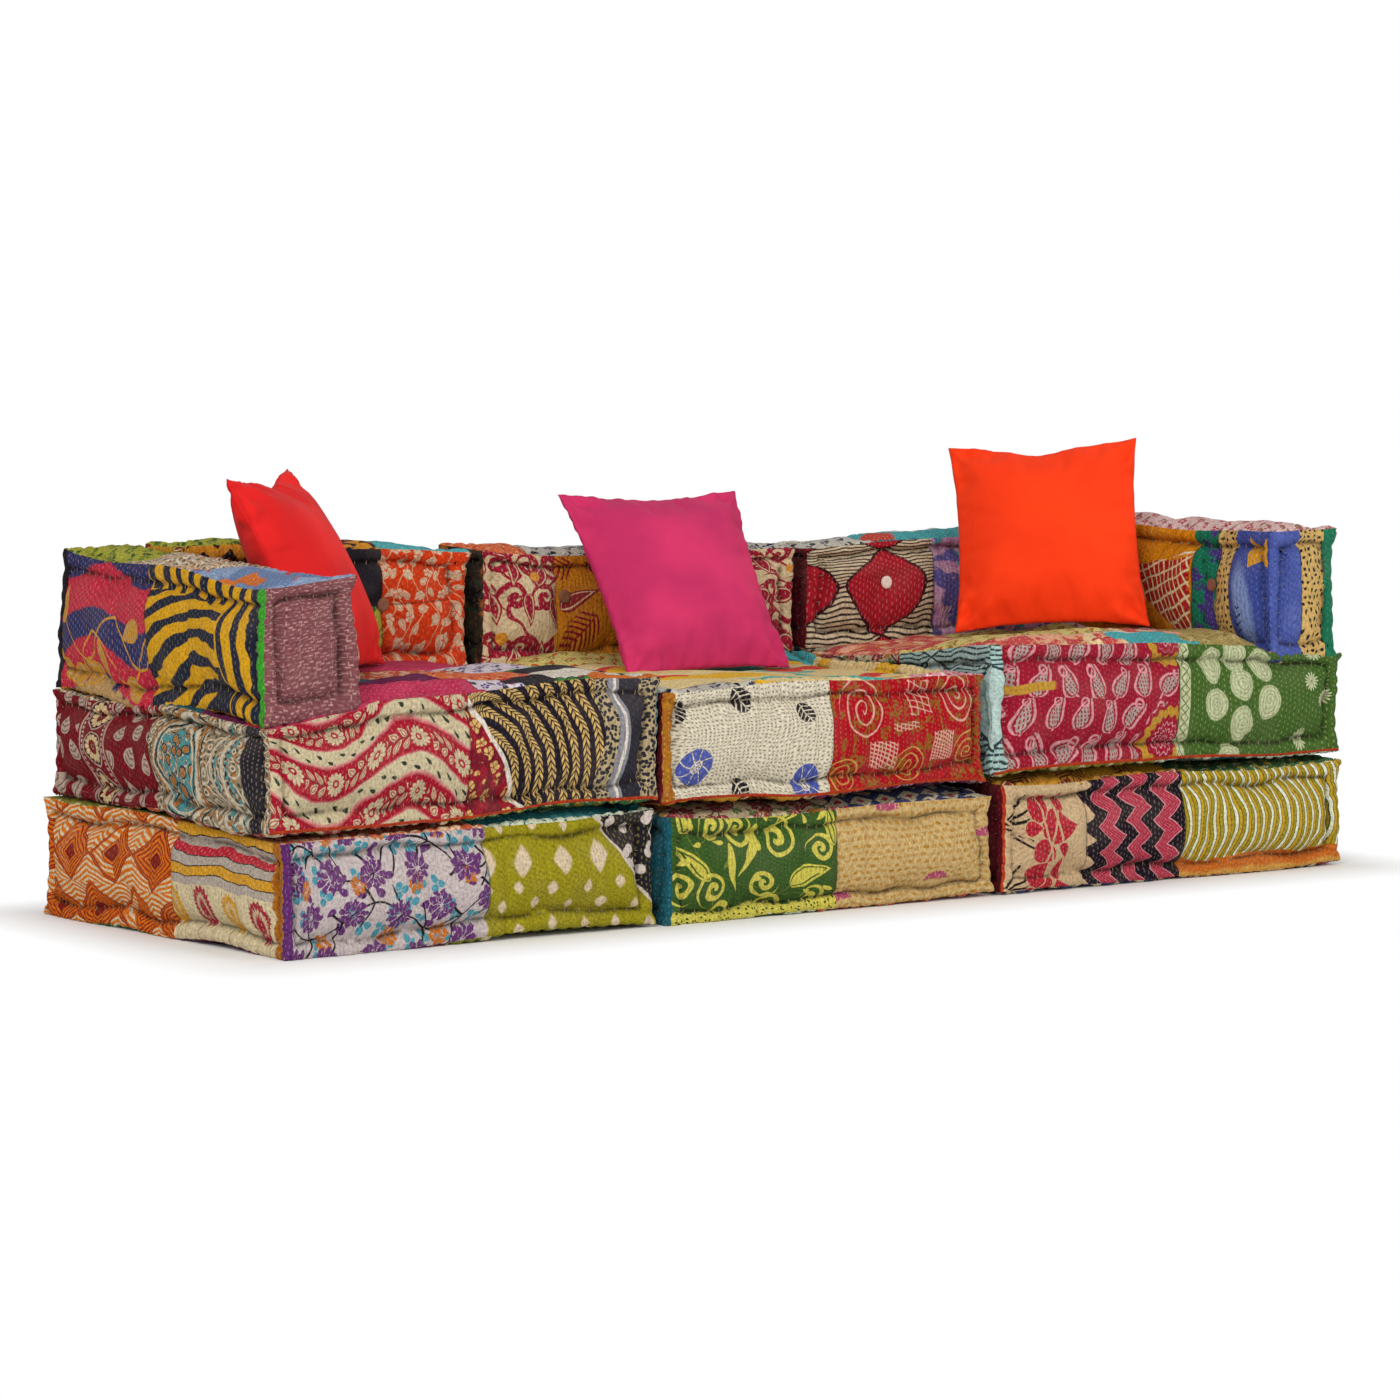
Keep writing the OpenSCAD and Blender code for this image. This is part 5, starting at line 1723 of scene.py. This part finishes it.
scene.view_settings.view_transform = "Standard"
roomLight = 0.62           # white light from all round; the camera itself sees plain white
world = bpy.data.worlds.new("studio")
scene.world = world
world.use_nodes = True
worldTree = world.node_tree
worldTree.nodes.clear()
rays = addNode(worldTree, "ShaderNodeLightPath")
soft = addNode(worldTree, "ShaderNodeBackground", links={"Color": (1, 1, 1, 1), "Strength": roomLight})
seen = addNode(worldTree, "ShaderNodeBackground", links={"Color": (1, 1, 1, 1), "Strength": 1.0})
choice = addNode(worldTree, "ShaderNodeMixShader", links={
    0: rays.outputs["Is Camera Ray"], 1: soft.outputs[0], 2: seen.outputs[0]})
addNode(worldTree, "ShaderNodeOutputWorld", links={"Surface": choice.outputs[0]})

lamps = {                  # two soft boxes
    "key": {"at": (-4.8, -4.2, 3.6), "size": 3.2, "power": 225},
    "fill": {"at": (2.2, -5.8, 2.8), "size": 4.0, "power": 150},
}
lampColour = (1.0, 0.95, 0.89)
for name, lamp in lamps.items():
    light = bpy.data.lights.new(name, "AREA")
    light.size, light.energy, light.color = lamp["size"], lamp["power"], lampColour
    holder = bpy.data.objects.new(name, light)
    scene.collection.objects.link(holder)
    holder.location = lamp["at"]
    holder.rotation_euler = (Vector((0, 0, 0.3)) - holder.location).to_track_quat("-Z", "Y").to_euler()

sweep = {                  # matt white paper: only the shadow close to the sofa shows
    "reach": 40,
    "sofa": (1.22, 0.41),  # half of its length and depth
    "shadow": 0.18,        # how far from it the shadow shows
    "shade": 0.86,
}
floorMesh = bpy.data.meshes.new("floor")
corners = [(x * sweep["reach"], y * sweep["reach"], 0) for x, y in ((-1, -1), (1, -1), (1, 1), (-1, 1))]
floorMesh.from_pydata(corners, [], [(0, 1, 2, 3)])
floor = newObject("floor", floorMesh)
paper, paperTree = newMaterial("white_paper_sweep")
floorPlace = addNode(paperTree, "ShaderNodeTexCoord")
floorSpot = addNode(paperTree, "ShaderNodeSeparateXYZ", links={0: floorPlace.outputs["Object"]})
gaps = [(abs(Field(floorSpot.outputs[k])) - sweep["sofa"][k]).to("MAXIMUM", 0) for k in (0, 1)]
nearSofa = below(far(*gaps), sweep["shadow"] / 2, sweep["shadow"])
paperShade = addNode(paperTree, "ShaderNodeBsdfDiffuse", links={"Color": (*[sweep["shade"]] * 3, 1)})
paperLight = addNode(paperTree, "ShaderNodeEmission", links={"Color": (1, 1, 1, 1), "Strength": 1.0})
onFloor = addNode(paperTree, "ShaderNodeLightPath")
lit = 1 - Field(onFloor.outputs["Is Camera Ray"]) * (1 - nearSofa)
mixed = addNode(paperTree, "ShaderNodeMixShader", links={
    0: lit, 1: paperLight.outputs[0], 2: paperShade.outputs[0]})
addNode(paperTree, "ShaderNodeOutputMaterial", links={"Surface": mixed.outputs[0]})
floorMesh.materials.append(paper)
